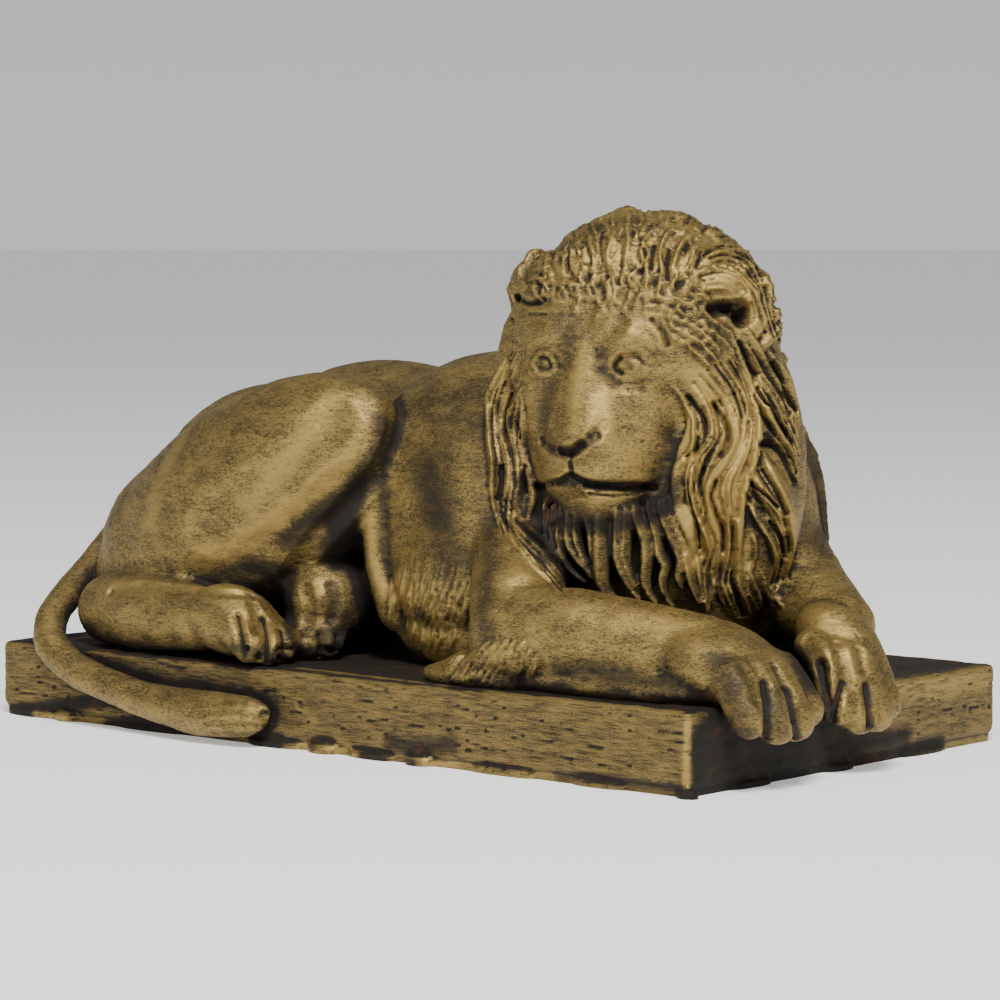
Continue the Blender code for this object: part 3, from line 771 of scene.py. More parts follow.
def back_hair(bm, bed):
    """Rows of long waved locks round the back of the mane, each row under the one above."""
    for row, top in enumerate(BACK_ROWS):
        count = 17 + row
        shift = 0.5 * (row % 2)
        for i in range(count):
            azimuth = BACK_AZIMUTH + BACK_SPREAD * (i + shift) / count + chance.uniform(-2, 2)
            long = chance.uniform(26, 36)
            knots = []
            for k in range(BACK_KNOTS):
                elevation = top - long * k / (BACK_KNOTS - 1)
                knots.append((azimuth + BACK_WAVE * math.sin(0.17 * elevation + 0.05 * azimuth), elevation))
            laid(bm, bed.around, knots, 2.2 * chance.uniform(0.7, 1.2), 1.2 * chance.uniform(0.7, 1.2), 1)


# Grooves of the face, and ridges as grooves below 0: radius and depth in parts, and pixels
FACE_LINES = {
    "near_brow": (2.0, -0.35, [(616, 342), (632, 336), (650, 342)]),
    "far_brow": (1.8, -0.3, [(530, 342), (542, 337), (556, 344)]),
    "brow_furrow": (1.7, 0.4, [(586, 318), (574, 334), (568, 352)]),
    "near_brow_edge": (1.6, 0.35, [(620, 322), (612, 338), (601, 352)]),
    "temple_edge": (0.6, 0.3, [(652, 320), (662, 328), (668, 344)]),
    "temple_ridge": (0.7, -0.2, [(650, 327), (660, 336), (663, 348)]),
    "near_socket": (1.3, 0.3, [(604, 372), (618, 384), (640, 386)]),
    "near_upper_lid": (0.8, -0.22, [(614, 358), (622, 353), (632, 350), (642, 353), (650, 361)]),
    "near_lower_lid": (0.6, -0.14, [(618, 377), (628, 379), (638, 377), (648, 369)]),
    "near_eye_ring": (0.5, 0.1, [(621, 359), (630, 356), (639, 358), (645, 364)]),
    "near_eyeball": (0.95, -0.16, [(629, 366), (634, 366)]),
    "far_upper_lid": (0.6, -0.25, [(533, 364), (537, 357), (543, 353), (550, 357), (554, 364)]),
    "far_lower_lid": (0.55, -0.18, [(535, 368), (541, 374), (549, 373), (554, 368)]),
    "far_eye_ring": (0.5, 0.17, [(535, 363), (539, 358), (546, 358), (550, 364), (546, 369), (539, 369)]),
    "near_corner": (0.6, 0.6, [(620, 358), (616, 363), (616, 369), (621, 373)]),
    "cheek_shade": (3.4, 0.4, [(676, 402), (674, 430), (668, 458), (660, 480)]),
    "mouth": (0.65, 1.0, [(536, 488), (546, 485), (560, 482), (571, 477), (583, 482), (600, 485),
                          (622, 486), (642, 486), (654, 489)]),
    "mouth_shade": (0.75, 1.0, [(588, 487), (610, 489), (632, 489), (648, 488)]),
    "lower_lip": (0.45, 0.35, [(590, 494), (615, 496), (640, 493)]),
    "jaw_end": (0.9, 0.6, [(537, 486), (538, 500), (541, 516)]),
    "nose_under": (0.9, 0.5, [(541, 440), (549, 448), (558, 453), (568, 454), (578, 448), (588, 441),
                              (596, 435)]),
    "nose_shade": (0.95, 0.9, [(560, 451), (570, 452), (580, 446)]),
    "nose_wing": (0.8, 0.35, [(590, 436), (596, 431), (598, 437)]),
    "cleft": (0.45, 0.5, [(570, 455), (570, 466), (571, 476)]),
    "bridge_near": (1.4, 0.16, [(599, 360), (597, 385), (597, 408), (600, 425)]),
    "bridge_far": (1.8, 0.3, [(556, 366), (551, 385), (546, 405), (542, 425), (541, 438)]),
    "far_ear_fold": (0.7, 0.7, [(517, 297), (528, 303), (542, 300)]),
    "far_dash": (0.5, 0.25, [(529, 314), (545, 314)]),
    "ear_hollow": (1.25, 2.0, [(714, 309), (728, 306), (740, 306), (741, 320)]),
    "ear_depth": (1.1, 1.2, [(730, 308), (738, 318)]),
}

# Grooves between the locks, each as its radius, its depth and its pixels
HAIR_GROOVES = [
    (0.5, 0.8, [(688, 397), (698, 409), (705, 425), (705, 437), (697, 449), (686, 457)]),
    (0.6, 1.2, [(714, 404), (723, 419), (729, 434), (728, 446), (722, 456)]),
    (0.45, 1.0, [(691, 464), (688, 478), (688, 494), (692, 511), (698, 528), (699, 548)]),
    (0.6, 1.1, [(703, 470), (699, 486)]),
    (0.55, 1.2, [(716, 482), (712, 497), (716, 514), (723, 530), (723, 552)]),
    (0.4, 0.5, [(716, 366), (732, 388), (741, 412), (742, 434)]),
    (0.4, 0.5, [(732, 362), (747, 390), (751, 416), (750, 440)]),
    (0.4, 0.4, [(700, 376), (716, 394), (727, 412)]),
    (0.55, 1.1, [(740, 342), (748, 358), (757, 374)]),
    (0.6, 1.3, [(760, 388), (768, 403), (780, 420), (787, 434)]),
    (0.6, 1.3, [(773, 364), (785, 388), (796, 410)]),
    (0.8, 1.5, [(762, 444), (776, 446), (787, 462), (795, 482)]),
    (0.5, 1.2, [(751, 484), (766, 496), (779, 508)]),
    (0.5, 1.1, [(771, 524), (782, 540), (786, 558)]),
    (0.4, 0.8, [(764, 470), (778, 492), (788, 514)]),
    (0.55, 1.0, [(514, 390), (506, 414), (505, 440)]),
    (0.6, 1.2, [(501, 468), (501, 486), (497, 497)]),
    (0.6, 1.2, [(524, 466), (526, 490)]),
    (0.35, 0.7, [(519, 424), (519, 438)]),
    (0.45, 0.9, [(505, 500), (505, 516), (508, 530)]),
    (0.4, 0.5, [(568, 246), (569, 258), (567, 272)]),
    (0.4, 0.5, [(602, 232), (600, 246), (602, 260)]),
    (0.4, 0.5, [(640, 244), (645, 252), (642, 272)]),
    (0.5, 0.8, [(654, 246), (652, 256), (651, 268)]),
    (0.5, 0.7, [(669, 250), (667, 264), (668, 278)]),
    (0.5, 0.6, [(702, 252), (696, 267)]),
]

# Creases of the near thigh, the fold before it and the shank, in the same way
BODY_LINES = {
    "thigh_edge": (2.2, 0.9, [(396, 410), (395, 436), (381, 470), (356, 498), (335, 521), (313, 544),
                              (290, 576)]),
    "fold_edge": (1.8, 0.3, [(381, 480), (380, 520), (381, 555), (392, 590)]),
    "thigh_furrow": (4.2, 0.9, [(350, 488), (300, 522), (245, 556), (200, 580)]),
    "thigh_hollow": (4.2, 0.8, [(330, 425), (270, 480), (210, 530)]),
    "shank_top": (1.3, 0.7, [(250, 595), (215, 592), (180, 590), (140, 586), (112, 590)]),
}

# Grooves between the toes, over their knuckles and along the tail's tuft, and the claws' pits
TOE_LINES = [
    [(764, 684), (766, 708), (767, 738)],
    [(787, 692), (792, 712), (797, 738)],
    [(820, 664), (824, 684), (829, 704)],
    [(841, 684), (836, 704), (832, 724)],
    [(866, 686), (869, 706), (870, 726)],
    [(237, 617), (241, 638), (244, 660)],
    [(264, 620), (267, 640), (267, 662)],
    [(282, 632), (285, 648), (284, 663)],
    [(318, 636), (320, 647), (319, 657)],
    [(338, 638), (338, 648), (336, 658)],
]
KNUCKLE_LINES = [
    [(305, 588), (310, 606), (308, 624)],
    [(331, 586), (336, 602), (331, 618)],
    [(306, 632), (324, 634), (344, 631)],
    [(252, 604), (258, 616), (256, 630)],
    [(808, 640), (816, 655), (822, 668)],
    [(836, 644), (842, 664), (846, 682)],
    [(858, 650), (862, 670)],
    [(742, 668), (752, 682), (756, 700)],
    [(774, 668), (782, 684)],
]
TAIL_TUFT_LINES = [
    [(196, 704), (224, 701), (252, 706), (278, 719)],
    [(200, 714), (228, 712), (256, 716), (281, 723)],
    [(206, 724), (232, 723), (258, 726), (282, 727)],
    [(214, 734), (238, 734), (262, 733), (280, 731)],
]
CLAW_PITS = [(233, 653), (259, 656), (280, 657)]


# Painted shade along lines, partly dark washes of paint, and painted highlights as rubs of bright gold
# below 0: strength, radius in parts, pixels
FIGURE_WASHES_AND_PAINTED_LIGHT = [
    (0.75, 2.6, [(384, 425), (372, 452), (358, 479), (341, 496), (322, 511), (304, 524), (288, 540)]),
    (0.8, 1.3, [(398, 398), (398, 418), (394, 440), (385, 462)]),
    (0.45, 1.6, [(386, 500), (385, 530), (388, 560), (394, 582)]),
    (0.6, 2.2, [(250, 562), (272, 572), (292, 584)]),
    (0.9, 2.6, [(338, 520), (352, 545), (362, 580), (372, 620), (384, 650)]),
    (0.35, 5.0, [(430, 400), (440, 450), (440, 510)]),
    (0.35, 4.0, [(470, 390), (486, 440), (492, 500)]),
    (0.5, 2.2, [(492, 520), (491, 556), (486, 590), (486, 635)]),
    (0.35, 2.0, [(670, 434), (667, 458), (657, 480)]),
    (0.7, 2.2, [(652, 502), (666, 500), (674, 488)]),
    (0.8, 1.6, [(542, 514), (560, 522), (600, 526), (640, 520), (664, 508)]),
    (0.9, 1.5, [(538, 520), (544, 545), (556, 565), (568, 580)]),
    (0.5, 1.7, [(552, 507), (600, 513), (645, 506)]),
    (-0.3, 1.2, [(590, 502), (620, 503)]),
    (0.8, 0.8, [(560, 482), (580, 483), (600, 487), (640, 488)]),
    (0.45, 1.5, [(552, 446), (568, 451), (584, 446), (592, 440)]),
    (0.45, 1.6, [(600, 355), (604, 372), (612, 380)]),
    (0.5, 0.7, [(628, 364), (631, 367)]),
    (0.5, 0.7, [(541, 363), (543, 366)]),
    (0.4, 2.4, [(548, 392), (545, 412), (544, 430)]),
    (0.35, 2.6, [(566, 322), (572, 340), (570, 356)]),
    (0.9, 2.4, [(374, 482), (356, 506), (340, 530), (330, 556)]),
    (-0.6, 1.5, [(374, 478), (369, 505), (367, 535), (373, 565), (381, 592)]),
    (0.6, 1.5, [(288, 596), (288, 625), (298, 655)]),
    (0.4, 3.4, [(332, 600), (338, 620), (330, 640)]),
    (0.5, 1.2, [(234, 648), (262, 652), (284, 656)]),
    (-0.6, 1.0, [(318, 582), (320, 592)]),
    (0.7, 1.5, [(368, 596), (366, 630), (354, 655)]),
    (0.3, 2.6, [(690, 600), (700, 616)]),
    (-1.9, 2.9, [(398, 590), (408, 612), (420, 636), (434, 654)]),
    (-0.6, 3.2, [(404, 586), (424, 610), (440, 632), (456, 650)]),
    (0.5, 3.0, [(716, 650), (730, 680), (738, 712), (740, 736)]),
    (0.4, 2.2, [(776, 700), (780, 730)]),
    (0.45, 4.0, [(420, 470), (440, 530), (450, 560)]),
    (1.0, 2.6, [(764, 612), (776, 634), (794, 656), (808, 680)]),
    (0.6, 1.4, [(822, 664), (828, 700), (830, 722)]),
    (0.6, 3.0, [(810, 400), (816, 450), (822, 500), (832, 545)]),
    (0.5, 2.0, [(560, 668), (620, 678), (690, 690)]),
    (-0.55, 2.6, [(332, 400), (306, 436), (276, 476), (250, 505)]),
    (-0.65, 2.4, [(366, 440), (340, 470), (300, 502), (250, 538), (190, 570)]),
    (-0.4, 2.4, [(180, 440), (160, 480), (150, 520)]),
    (-0.5, 1.6, [(110, 586), (150, 590), (190, 590), (236, 588)]),
    (-0.3, 2.4, [(510, 592), (560, 606), (620, 616), (690, 634), (740, 652)]),
    (-0.5, 2.2, [(806, 612), (830, 628), (852, 650)]),
    (-0.35, 2.2, [(604, 400), (610, 430), (628, 452), (642, 468)]),
    (-0.5, 1.6, [(580, 350), (576, 390), (572, 425)]),
    (-0.2, 2.2, [(630, 330), (640, 345)]),
    (-0.9, 2.6, [(700, 380), (722, 410), (730, 450), (716, 500), (722, 550)]),
    (-0.9, 2.4, [(686, 420), (690, 470), (692, 520), (698, 560)]),
    (-0.9, 2.6, [(750, 380), (752, 430), (740, 500), (738, 560)]),
    (-0.5, 2.2, [(505, 370), (496, 420), (498, 480), (506, 530), (540, 580)]),
    (-0.5, 2.4, [(770, 470), (786, 520), (788, 570)]),
    (-0.5, 2.6, [(560, 270), (610, 250), (660, 256), (720, 280), (760, 320)]),
    (-0.5, 2.6, [(600, 216), (650, 214), (700, 236), (745, 280)]),
]
# The furrows between the forepaws' toes get painted shade too
FIGURE_WASHES_AND_PAINTED_LIGHT += [(0.8, 0.8, line) for line in TOE_LINES[:5]]

# The plinth's painted shade under the forepaws and along its lower edge, partly dark washes of paint, and
# painted highlights as rubs below 0, in the same way
PLINTH_WASHES_AND_PAINTED_LIGHT = [
    (1.0, 3.4, [(704, 742), (740, 745), (776, 742), (826, 738)]),
    (1.0, 3.4, [(704, 762), (740, 764), (780, 760), (840, 750)]),
    (1.0, 2.6, [(702, 784), (740, 780), (790, 772), (850, 758)]),
    (0.6, 2.0, [(850, 744), (880, 740), (905, 736)]),
    (0.9, 1.5, [(696, 795), (740, 787), (800, 776), (870, 760), (940, 744)]),
    (0.8, 1.4, [(8, 712), (30, 716)]),
    (0.8, 1.4, [(80, 722), (130, 728), (200, 738), (270, 748)]),
    (0.7, 1.3, [(362, 758), (412, 765)]),
    (0.7, 1.3, [(470, 774), (560, 785), (640, 795), (684, 799)]),
    (-0.6, 1.1, [(36, 712), (64, 714)]),
    (-0.6, 1.1, [(286, 746), (330, 751), (352, 755)]),
    (-0.6, 1.1, [(428, 762), (456, 768)]),
    (0.5, 1.6, [(388, 742), (420, 748), (452, 746)]),
    (0.4, 1.6, [(20, 716), (60, 722), (110, 732)]),
    (0.4, 1.4, [(300, 754), (360, 762), (420, 768)]),
    (0.5, 1.3, [(560, 776), (620, 782), (680, 790)]),
    (-0.6, 0.7, [(688, 724), (687, 750), (686, 785)]),
    (-0.6, 0.8, [(300, 668), (400, 680), (520, 694), (680, 712)]),
    (-0.4, 2.4, [(900, 690), (940, 686), (985, 676)]),
]


def traced(beds, pixels, steps=5):
    """The top's points under a smooth line of pixels, and the direction out of the smooth form there."""
    top, bed = beds
    line = flowing(flat(pixels), steps * (len(pixels) - 1) + 1)
    points = [top.seen(p.x, p.y)[0] for p in line]
    out = sum((bed.seen(p.x, p.y)[1] for p in line), Vector()).normalized()
    return points, (out - camera_axes()[0]).normalized()


def line_strokes(beds, lines):
    """The strokes of a table of lines, each with its points and direction, its radius and its depth."""
    for radius, depth, pixels in lines.values():
        yield traced(beds, pixels), radius, depth


# The radius and depth in parts of the fine grooves that comb the hair
COMB_RADIUS = 0.42
COMB_DEPTH = 0.36

# Locks that are combed, with the number of fine grooves from each to the next
COMBED = [
    (NEAR_CURTAIN[1:6], 5),
    (FAR_CURTAIN[:3], 3),
    (FAR_CURTAIN[4:], 2),
    (TEMPLE_LOCKS, 3),
    (SWEEP_LOCKS[:4], 4),
    (EAR_LOCKS[:3], 4),
]


def hair_strokes(beds):
    """The grooves between locks, and fine ones that comb the hair from each lock to the next."""
    for radius, depth, pixels in HAIR_GROOVES:
        yield traced(beds, pixels), radius * 0.85, depth * 0.7
    for locks, count in COMBED:
        for (_, _, first), (_, _, last) in zip(locks, locks[1:]):
            for k in range(count):
                share = (k + chance.uniform(0.1, 0.9)) / count
                line = between(even(first), even(last), share)
                start = chance.choice((0, 1, 1, 2))
                end = chance.choice((6, 8, 9, 9))
                yield traced(beds, line[start:end], 4), COMB_RADIUS, COMB_DEPTH


def paw_and_tail_strokes(beds):
    """Grooves between the toes, over the knuckles and in the tail's tuft, and pits at the claws."""
    for line in TOE_LINES:
        yield traced(beds, line), 1.1, 0.45
        yield traced(beds, line), 0.45, 0.4
    for line in KNUCKLE_LINES:
        yield traced(beds, line), 1.2, 0.4
    for line in TAIL_TUFT_LINES:
        yield traced(beds, line), 0.8, 0.22
    for pit in CLAW_PITS:
        yield traced(beds, [pit, (pit[0], pit[1] + 3)], 1), 0.6, 0.6


class Skin:
    """A triangle mesh as arrays, for work on many points at once."""

    def __init__(self, mesh):
        count = len(mesh.vertices)
        self.places = np.empty(count * 3)
        mesh.vertices.foreach_get("co", self.places)
        self.places = self.places.reshape(-1, 3)
        mesh.calc_loop_triangles()
        corners = np.empty(len(mesh.loop_triangles) * 3, dtype=np.int32)
        mesh.loop_triangles.foreach_get("vertices", corners)
        self.triangles = corners.reshape(-1, 3)

    def edges(self):
        pairs = np.concatenate([self.triangles[:, pair] for pair in ([0, 1], [1, 2], [2, 0])])
        pairs.sort(axis=1)
        return np.unique(pairs, axis=0)

    def normals(self):
        a, b, c = (self.places[self.triangles[:, k]] for k in range(3))
        across = np.cross(b - a, c - a)
        total = np.stack(
            [sum(np.bincount(self.triangles[:, k], across[:, axis], len(self.places)) for k in range(3))
             for axis in range(3)],
            axis=1,
        )
        return total / np.maximum(np.linalg.norm(total, axis=1, keepdims=True), 1e-12)

    def blurred(self, values, rounds):
        """The values, each averaged with its neighbours a number of times."""
        edges = self.edges()
        count = len(self.places)
        near = np.bincount(edges.ravel(), minlength=count)
        values = values.reshape(count, -1).copy()
        for _ in range(rounds):
            for k in range(values.shape[1]):
                column = values[:, k]
                total = np.bincount(edges[:, 0], column[edges[:, 1]], count)
                total += np.bincount(edges[:, 1], column[edges[:, 0]], count)
                values[:, k] = (column + total / near) / 2
        return values

    def touched(self, points, radius):
        """The places within a radius of a path, and the touch of each, 0 at the rim and 1 on the path."""
        line = np.array([tuple(p) for p in points])
        low = line.min(axis=0) - radius
        high = line.max(axis=0) + radius
        near = np.flatnonzero(np.all((self.places > low) & (self.places < high), axis=1))
        spots = self.places[near]
        gap = np.full(len(spots), np.inf)
        for a, b in zip(line, line[1:]):
            along = b - a
            share = np.clip((spots - a) @ along / (along @ along + 1e-9), 0.0, 1.0)
            gap = np.minimum(gap, np.linalg.norm(spots - a - share[:, None] * along, axis=1))
        return near, np.clip(1.0 - (gap / radius) ** 2, 0.0, 1.0) ** 1.5

    def stroke(self, strokes):
        """Presses grooves into the skin along paths, each with its direction, its radius and its depth."""
        moved = self.places.copy()
        for (points, out), radius, depth in strokes:
            near, touch = self.touched(points, radius)
            moved[near] -= np.array(out) * (depth * touch)[:, None]
        self.places = moved

    def washed_and_painted_light(self, bed, washes_and_painted_light):
        """How much painted shade, partly a dark wash of paint, or below 0 how much painted highlight each
        point has from lines of pixels.
        """
        amounts = np.zeros(len(self.places))
        for strength, radius, pixels in washes_and_painted_light:
            line = flowing(flat(pixels), 4 * len(pixels))
            near, touch = self.touched([bed.seen(p.x, p.y)[0] for p in line], radius)
            amounts[near] += strength * touch
        return np.clip(amounts, -2.0, 1.0)

    def swell(self, amounts):
        """Moves each point out along the surface's normal."""
        self.places = self.places + self.normals() * amounts[:, None]

    def mesh(self, name):
        return triangle_mesh(name, self.places, self.triangles)


def triangle_mesh(name, places, triangles):
    mesh = bpy.data.meshes.new(name)
    mesh.vertices.add(len(places))
    mesh.vertices.foreach_set("co", places.astype(np.float32).ravel())
    mesh.loops.add(triangles.size)
    mesh.loops.foreach_set("vertex_index", triangles.astype(np.int32).ravel())
    mesh.polygons.add(len(triangles))
    mesh.polygons.foreach_set("loop_start", np.arange(0, triangles.size, 3, dtype=np.int32))
    mesh.update(calc_edges=True)
    return mesh


def lumps(places, spacing, seed):
    """Smooth noise from -1 to 1, with one lump for each spacing along x, y and z."""
    grid = places / np.array(spacing) + 100.0
    cell = np.floor(grid).astype(np.int64)
    t = grid - cell
    t = t * t * (3.0 - 2.0 * t)
    total = np.zeros(len(places))
    for corner in itertools.product((0, 1), repeat=3):
        key = (cell + corner) @ np.array([73856093, 19349663, 83492791]) + seed * 2654435761
        key = (key ^ (key >> 13)) * 1274126177 & 0x7FFFFFFF
        key = (key ^ (key >> 16)) & 0xFFFF
        weight = np.prod(np.where(corner, t, 1.0 - t), axis=1)
        total += weight * (key / 32767.5 - 1.0)
    return total


# Lumps and level streaks by height, spacing and seed, and pits, also by the noise that they start at
FIGURE_LUMPS = [(0.10, (2.6, 2.6, 2.2), 1), (0.04, (1.3, 1.3, 0.42), 2)]
FIGURE_PITS = (0.09, (0.9, 0.9, 0.5), 3, 0.55)
PLINTH_LUMPS = [(0.06, (3.0, 3.0, 2.0), 4), (0.07, (2.6, 2.6, 0.4), 5)]
PLINTH_PITS = (0.14, (1.5, 1.5, 0.42), 6, 0.58)


def unevenness(places, waves, pits):
    """The height of soft lumps at each place, less small pits."""
    height = sum(high * lumps(places, spacing, seed) for high, spacing, seed in waves)
    deep, spacing, seed, rim = pits
    return height - deep * np.clip((lumps(places, spacing, seed) - rim) / 0.3, 0.0, 1.0)


def mesh_of(name, *makers):
    bm = bmesh.new()
    for make in makers:
        make(bm)
    mesh = bpy.data.meshes.new(name)
    bm.to_mesh(mesh)
    bm.free()
    return mesh


def worked(mesh, *steps):
    """The mesh after the modifiers, each given as its type and its settings."""
    piece = bpy.data.objects.new(mesh.name, mesh)
    bpy.context.scene.collection.objects.link(piece)
    for kind, settings in steps:
        modifier = piece.modifiers.new(kind.lower(), kind)
        for key, value in settings.items():
            setattr(modifier, key, value)
    done = bpy.data.meshes.new_from_object(piece.evaluated_get(bpy.context.evaluated_depsgraph_get()))
    bpy.data.objects.remove(piece)
    return done


def remesh(grain):
    return "REMESH", {"mode": "VOXEL", "voxel_size": grain}


def smooth(rounds):
    return "SMOOTH", {"factor": 0.5, "iterations": rounds}


def decimated(mesh, triangles):
    mesh.calc_loop_triangles()
    return worked(mesh, ("DECIMATE", {"ratio": min(1.0, triangles / len(mesh.loop_triangles))}))


def figure_skin():
    """The lion: smooth masses, hair and fur laid on them, then grooves and the cast's unevenness."""
    body_mesh = worked(mesh_of("body", trunk), remesh(BODY_GRAIN), smooth(24))
    masses = [lambda bm: bm.from_mesh(body_mesh), folds, hind_legs, forelegs, mane_mass, head]
    rough_bed = Bed(worked(mesh_of("rough_bed", *masses), remesh(BED_GRAIN)))
    sheeted = mesh_of("bed", *masses, lambda bm: hair_sheets(bm, rough_bed))
    bed_mesh = worked(sheeted, remesh(BED_GRAIN), smooth(6))
    bed = Bed(bed_mesh)
    joined = mesh_of(
        "figure",
        lambda bm: bm.from_mesh(bed_mesh),
        tail,
        lambda bm: face_hair(bm, bed),
        lambda bm: fringes(bm, bed),
        beard,
        lambda bm: tufts(bm, bed),
        lambda bm: crown(bm, bed),
        lambda bm: back_hair(bm, bed),
    )
    fine = worked(joined, remesh(SKIN_GRAIN), smooth(1))
    skin = Skin(fine)
    beds = (Bed(fine), bed)
    lines = [*line_strokes(beds, FACE_LINES), *line_strokes(beds, BODY_LINES)]
    skin.stroke([*lines, *paw_and_tail_strokes(beds), *hair_strokes(beds)])
    skin.swell(unevenness(skin.places, FIGURE_LUMPS, FIGURE_PITS))
    return Skin(decimated(skin.mesh("figure"), SKIN_TRIANGLES))


def anchored():
    """From parts above the plinth's top to metres, fast to the plinth's front and right edges."""
    across = Vector((PLINTH_LENGTH / 2 - FRONT_PARTS * PART, RIGHT_PARTS * PART - PLINTH_WIDTH / 2, 0.0))
    return Matrix.Translation(across) @ Matrix.Scale(PART, 4)


# The skin is parted behind the mane, and across the head between the face and the nape
PARTING_BEHIND_MANE = 8.5
PARTING_AT_NAPE = -4.0


def parted(skin):
    """The skin's sections by name, as triangles."""
    middle = skin.places[skin.triangles].mean(axis=1)
    ahead = (middle - np.array(HEAD_CENTRE)) @ np.array(FORWARD)
    hind = middle[:, 0] < PARTING_BEHIND_MANE
    front = ~hind & (ahead > PARTING_AT_NAPE)
    return {
        "hindquarters_and_tail": skin.triangles[hind],
        "face_and_right_foreleg": skin.triangles[front],
        "nape_and_left_foreleg": skin.triangles[~hind & ~front],
    }


# The rounds of smoothing that show fine and coarse hollows
HOLLOW_ROUNDS = (2, 10)


def hollows(skin):
    """How deep each point lies in a hollow, at a fine and at a coarse scale."""
    normals = skin.normals()
    pulls = [skin.blurred(skin.places, rounds) - skin.places for rounds in HOLLOW_ROUNDS]
    return [np.sum(pull * normals, axis=1) for pull in pulls]


def surroundings(*skins):
    """A search tree of coarse copies of the skins."""
    places = []
    corners = []
    for skin in skins:
        coarse = decimated(skin.mesh("coarse"), COARSE_TRIANGLES)
        corners += [[k + len(places) for k in p.vertices] for p in coarse.polygons]
        places += [v.co for v in coarse.vertices]
    return BVHTree.FromPolygons(places, corners)


# Openness is looked for this far, from this high over the surface, at about this many of its points
OPENNESS_REACH = 12.0
OPENNESS_START = 0.35
OPENNESS_SPOTS = 12000


def openness(skin, tree):
    """The share of the surroundings that each point faces freely within a short way, from 0 to 1."""
    picked = range(0, len(skin.places), max(1, len(skin.places) // OPENNESS_SPOTS))
    normals = skin.normals()
    rays = [Vector(r).normalized() for r in itertools.product((-1, 0, 1), repeat=3) if any(r)]
    finder = KDTree(len(picked))
    values = []
    for index, i in enumerate(picked):
        out = Vector(normals[i])
        place = Vector(skin.places[i])
        start = place + out * OPENNESS_START
        free = 1e-6
        total = 1e-6
        for ray in rays:
            weight = ray.dot(out)
            if weight <= 0.05:
                continue
            total += weight
            hit = tree.ray_cast(start, ray, OPENNESS_REACH)
            free += weight * (1.0 if hit[0] is None else hit[3] / OPENNESS_REACH)
        values.append(free / total)
        finder.insert(place, index)
    finder.balance()
    values = np.array(values)
    nearest = np.array([finder.find(p)[1] for p in skin.places.tolist()])
    return skin.blurred(values[nearest], 6)[:, 0]


def section(name, skin, triangles, placing, marks):
    """One section of the skin as an object, smooth over its borders with the others."""
    used, corners = np.unique(triangles, return_inverse=True)
    mesh = triangle_mesh(name, skin.places[used], corners.reshape(-1, 3))
    mesh.transform(placing)
    mesh.shade_smooth()
    mesh.normals_split_custom_set_from_vertices(skin.normals()[used].tolist())
    for key, values in marks.items():
        layer = mesh.attributes.new(key, "FLOAT", "POINT")
        layer.data.foreach_set("value", values[used].astype(np.float32))
    piece = bpy.data.objects.new(name, mesh)
    bpy.context.scene.collection.objects.link(piece)
    return piece


# Lumps of plastic film under the plinth's edges: their places and radii in parts
FILM_LUMPS = [
    ((-54.0, -32.6, -9.7), (5.0, 0.9, 0.7)),
    ((-47.0, -32.8, -9.6), (2.4, 1.1, 0.8)),
    ((-31.0, -32.5, -9.9), (6.0, 0.7, 0.5)),
    ((-8.0, -32.8, -9.8), (4.5, 1.0, 0.6)),
    ((1.0, -33.0, -9.6), (2.6, 1.1, 0.8)),
    ((9.0, -32.7, -9.9), (4.0, 0.9, 0.5)),
    ((17.5, -33.1, -9.6), (2.2, 1.1, 0.8)),
    ((31.0, -32.6, -9.9), (5.0, 0.7, 0.5)),
    ((46.0, -32.6, -9.9), (4.0, 0.8, 0.5)),
    ((59.4, -32.4, -9.8), (1.6, 1.2, 0.7)),
    ((59.7, -20.0, -9.9), (0.8, 4.0, 0.5)),
    ((59.8, -2.0, -9.8), (0.9, 3.0, 0.6)),
    ((59.6, 17.0, -9.9), (0.8, 5.0, 0.5)),
]


# How far the film stands back from the plinth's edges and reaches up into it, in parts
FILM_INSET = 0.6
FILM_SINK = 0.6

# The plinth shrinks by this to leave room for its lumps, and is flat below this height over its underside
PLINTH_SHRINK = 0.12
FLAT_BELOW = 0.4


def block(bm, middle, size):
    """A box by its middle and its size along x, y and z."""
    bmesh.ops.create_cube(bm, size=1.0, matrix=Matrix.Translation(middle) @ Matrix.Diagonal((*size, 1.0)))


def plinth_skin():
    """The plinth with its rounded edges, on a torn film of plastic, in the figure's parts."""
    middle = anchored().inverted() @ Vector((0.0, 0.0, -PLINTH_HEIGHT / 2))
    long, wide, high = (size / PART for size in (PLINTH_LENGTH, PLINTH_WIDTH, PLINTH_HEIGHT))
    foot = FOOTING_HEIGHT / PART

    def film(bm):
        low = middle - UP * (high / 2 + foot / 2 - FILM_SINK / 2)
        block(bm, low, (long - 2 * FILM_INSET, wide - 2 * FILM_INSET, foot + FILM_SINK))
        for place, radii in FILM_LUMPS:
            ball(bm, place, radii)

    slab = mesh_of("slab", lambda bm: block(bm, middle, (long, wide, high)))
    bevelled = worked(slab, ("BEVEL", {"width": PLINTH_ROUNDING / PART, "segments": 4}))
    joined = mesh_of("plinth", lambda bm: bm.from_mesh(bevelled), film)
    skin = Skin(worked(joined, remesh(PLINTH_GRAIN)))
    skin.swell(unevenness(skin.places, PLINTH_LUMPS, PLINTH_PITS) - PLINTH_SHRINK)
    underside = middle.z - high / 2 - foot
    skin.places[skin.places[:, 2] < underside + FLAT_BELOW, 2] = underside
    return Skin(decimated(skin.mesh("plinth"), PLINTH_TRIANGLES))


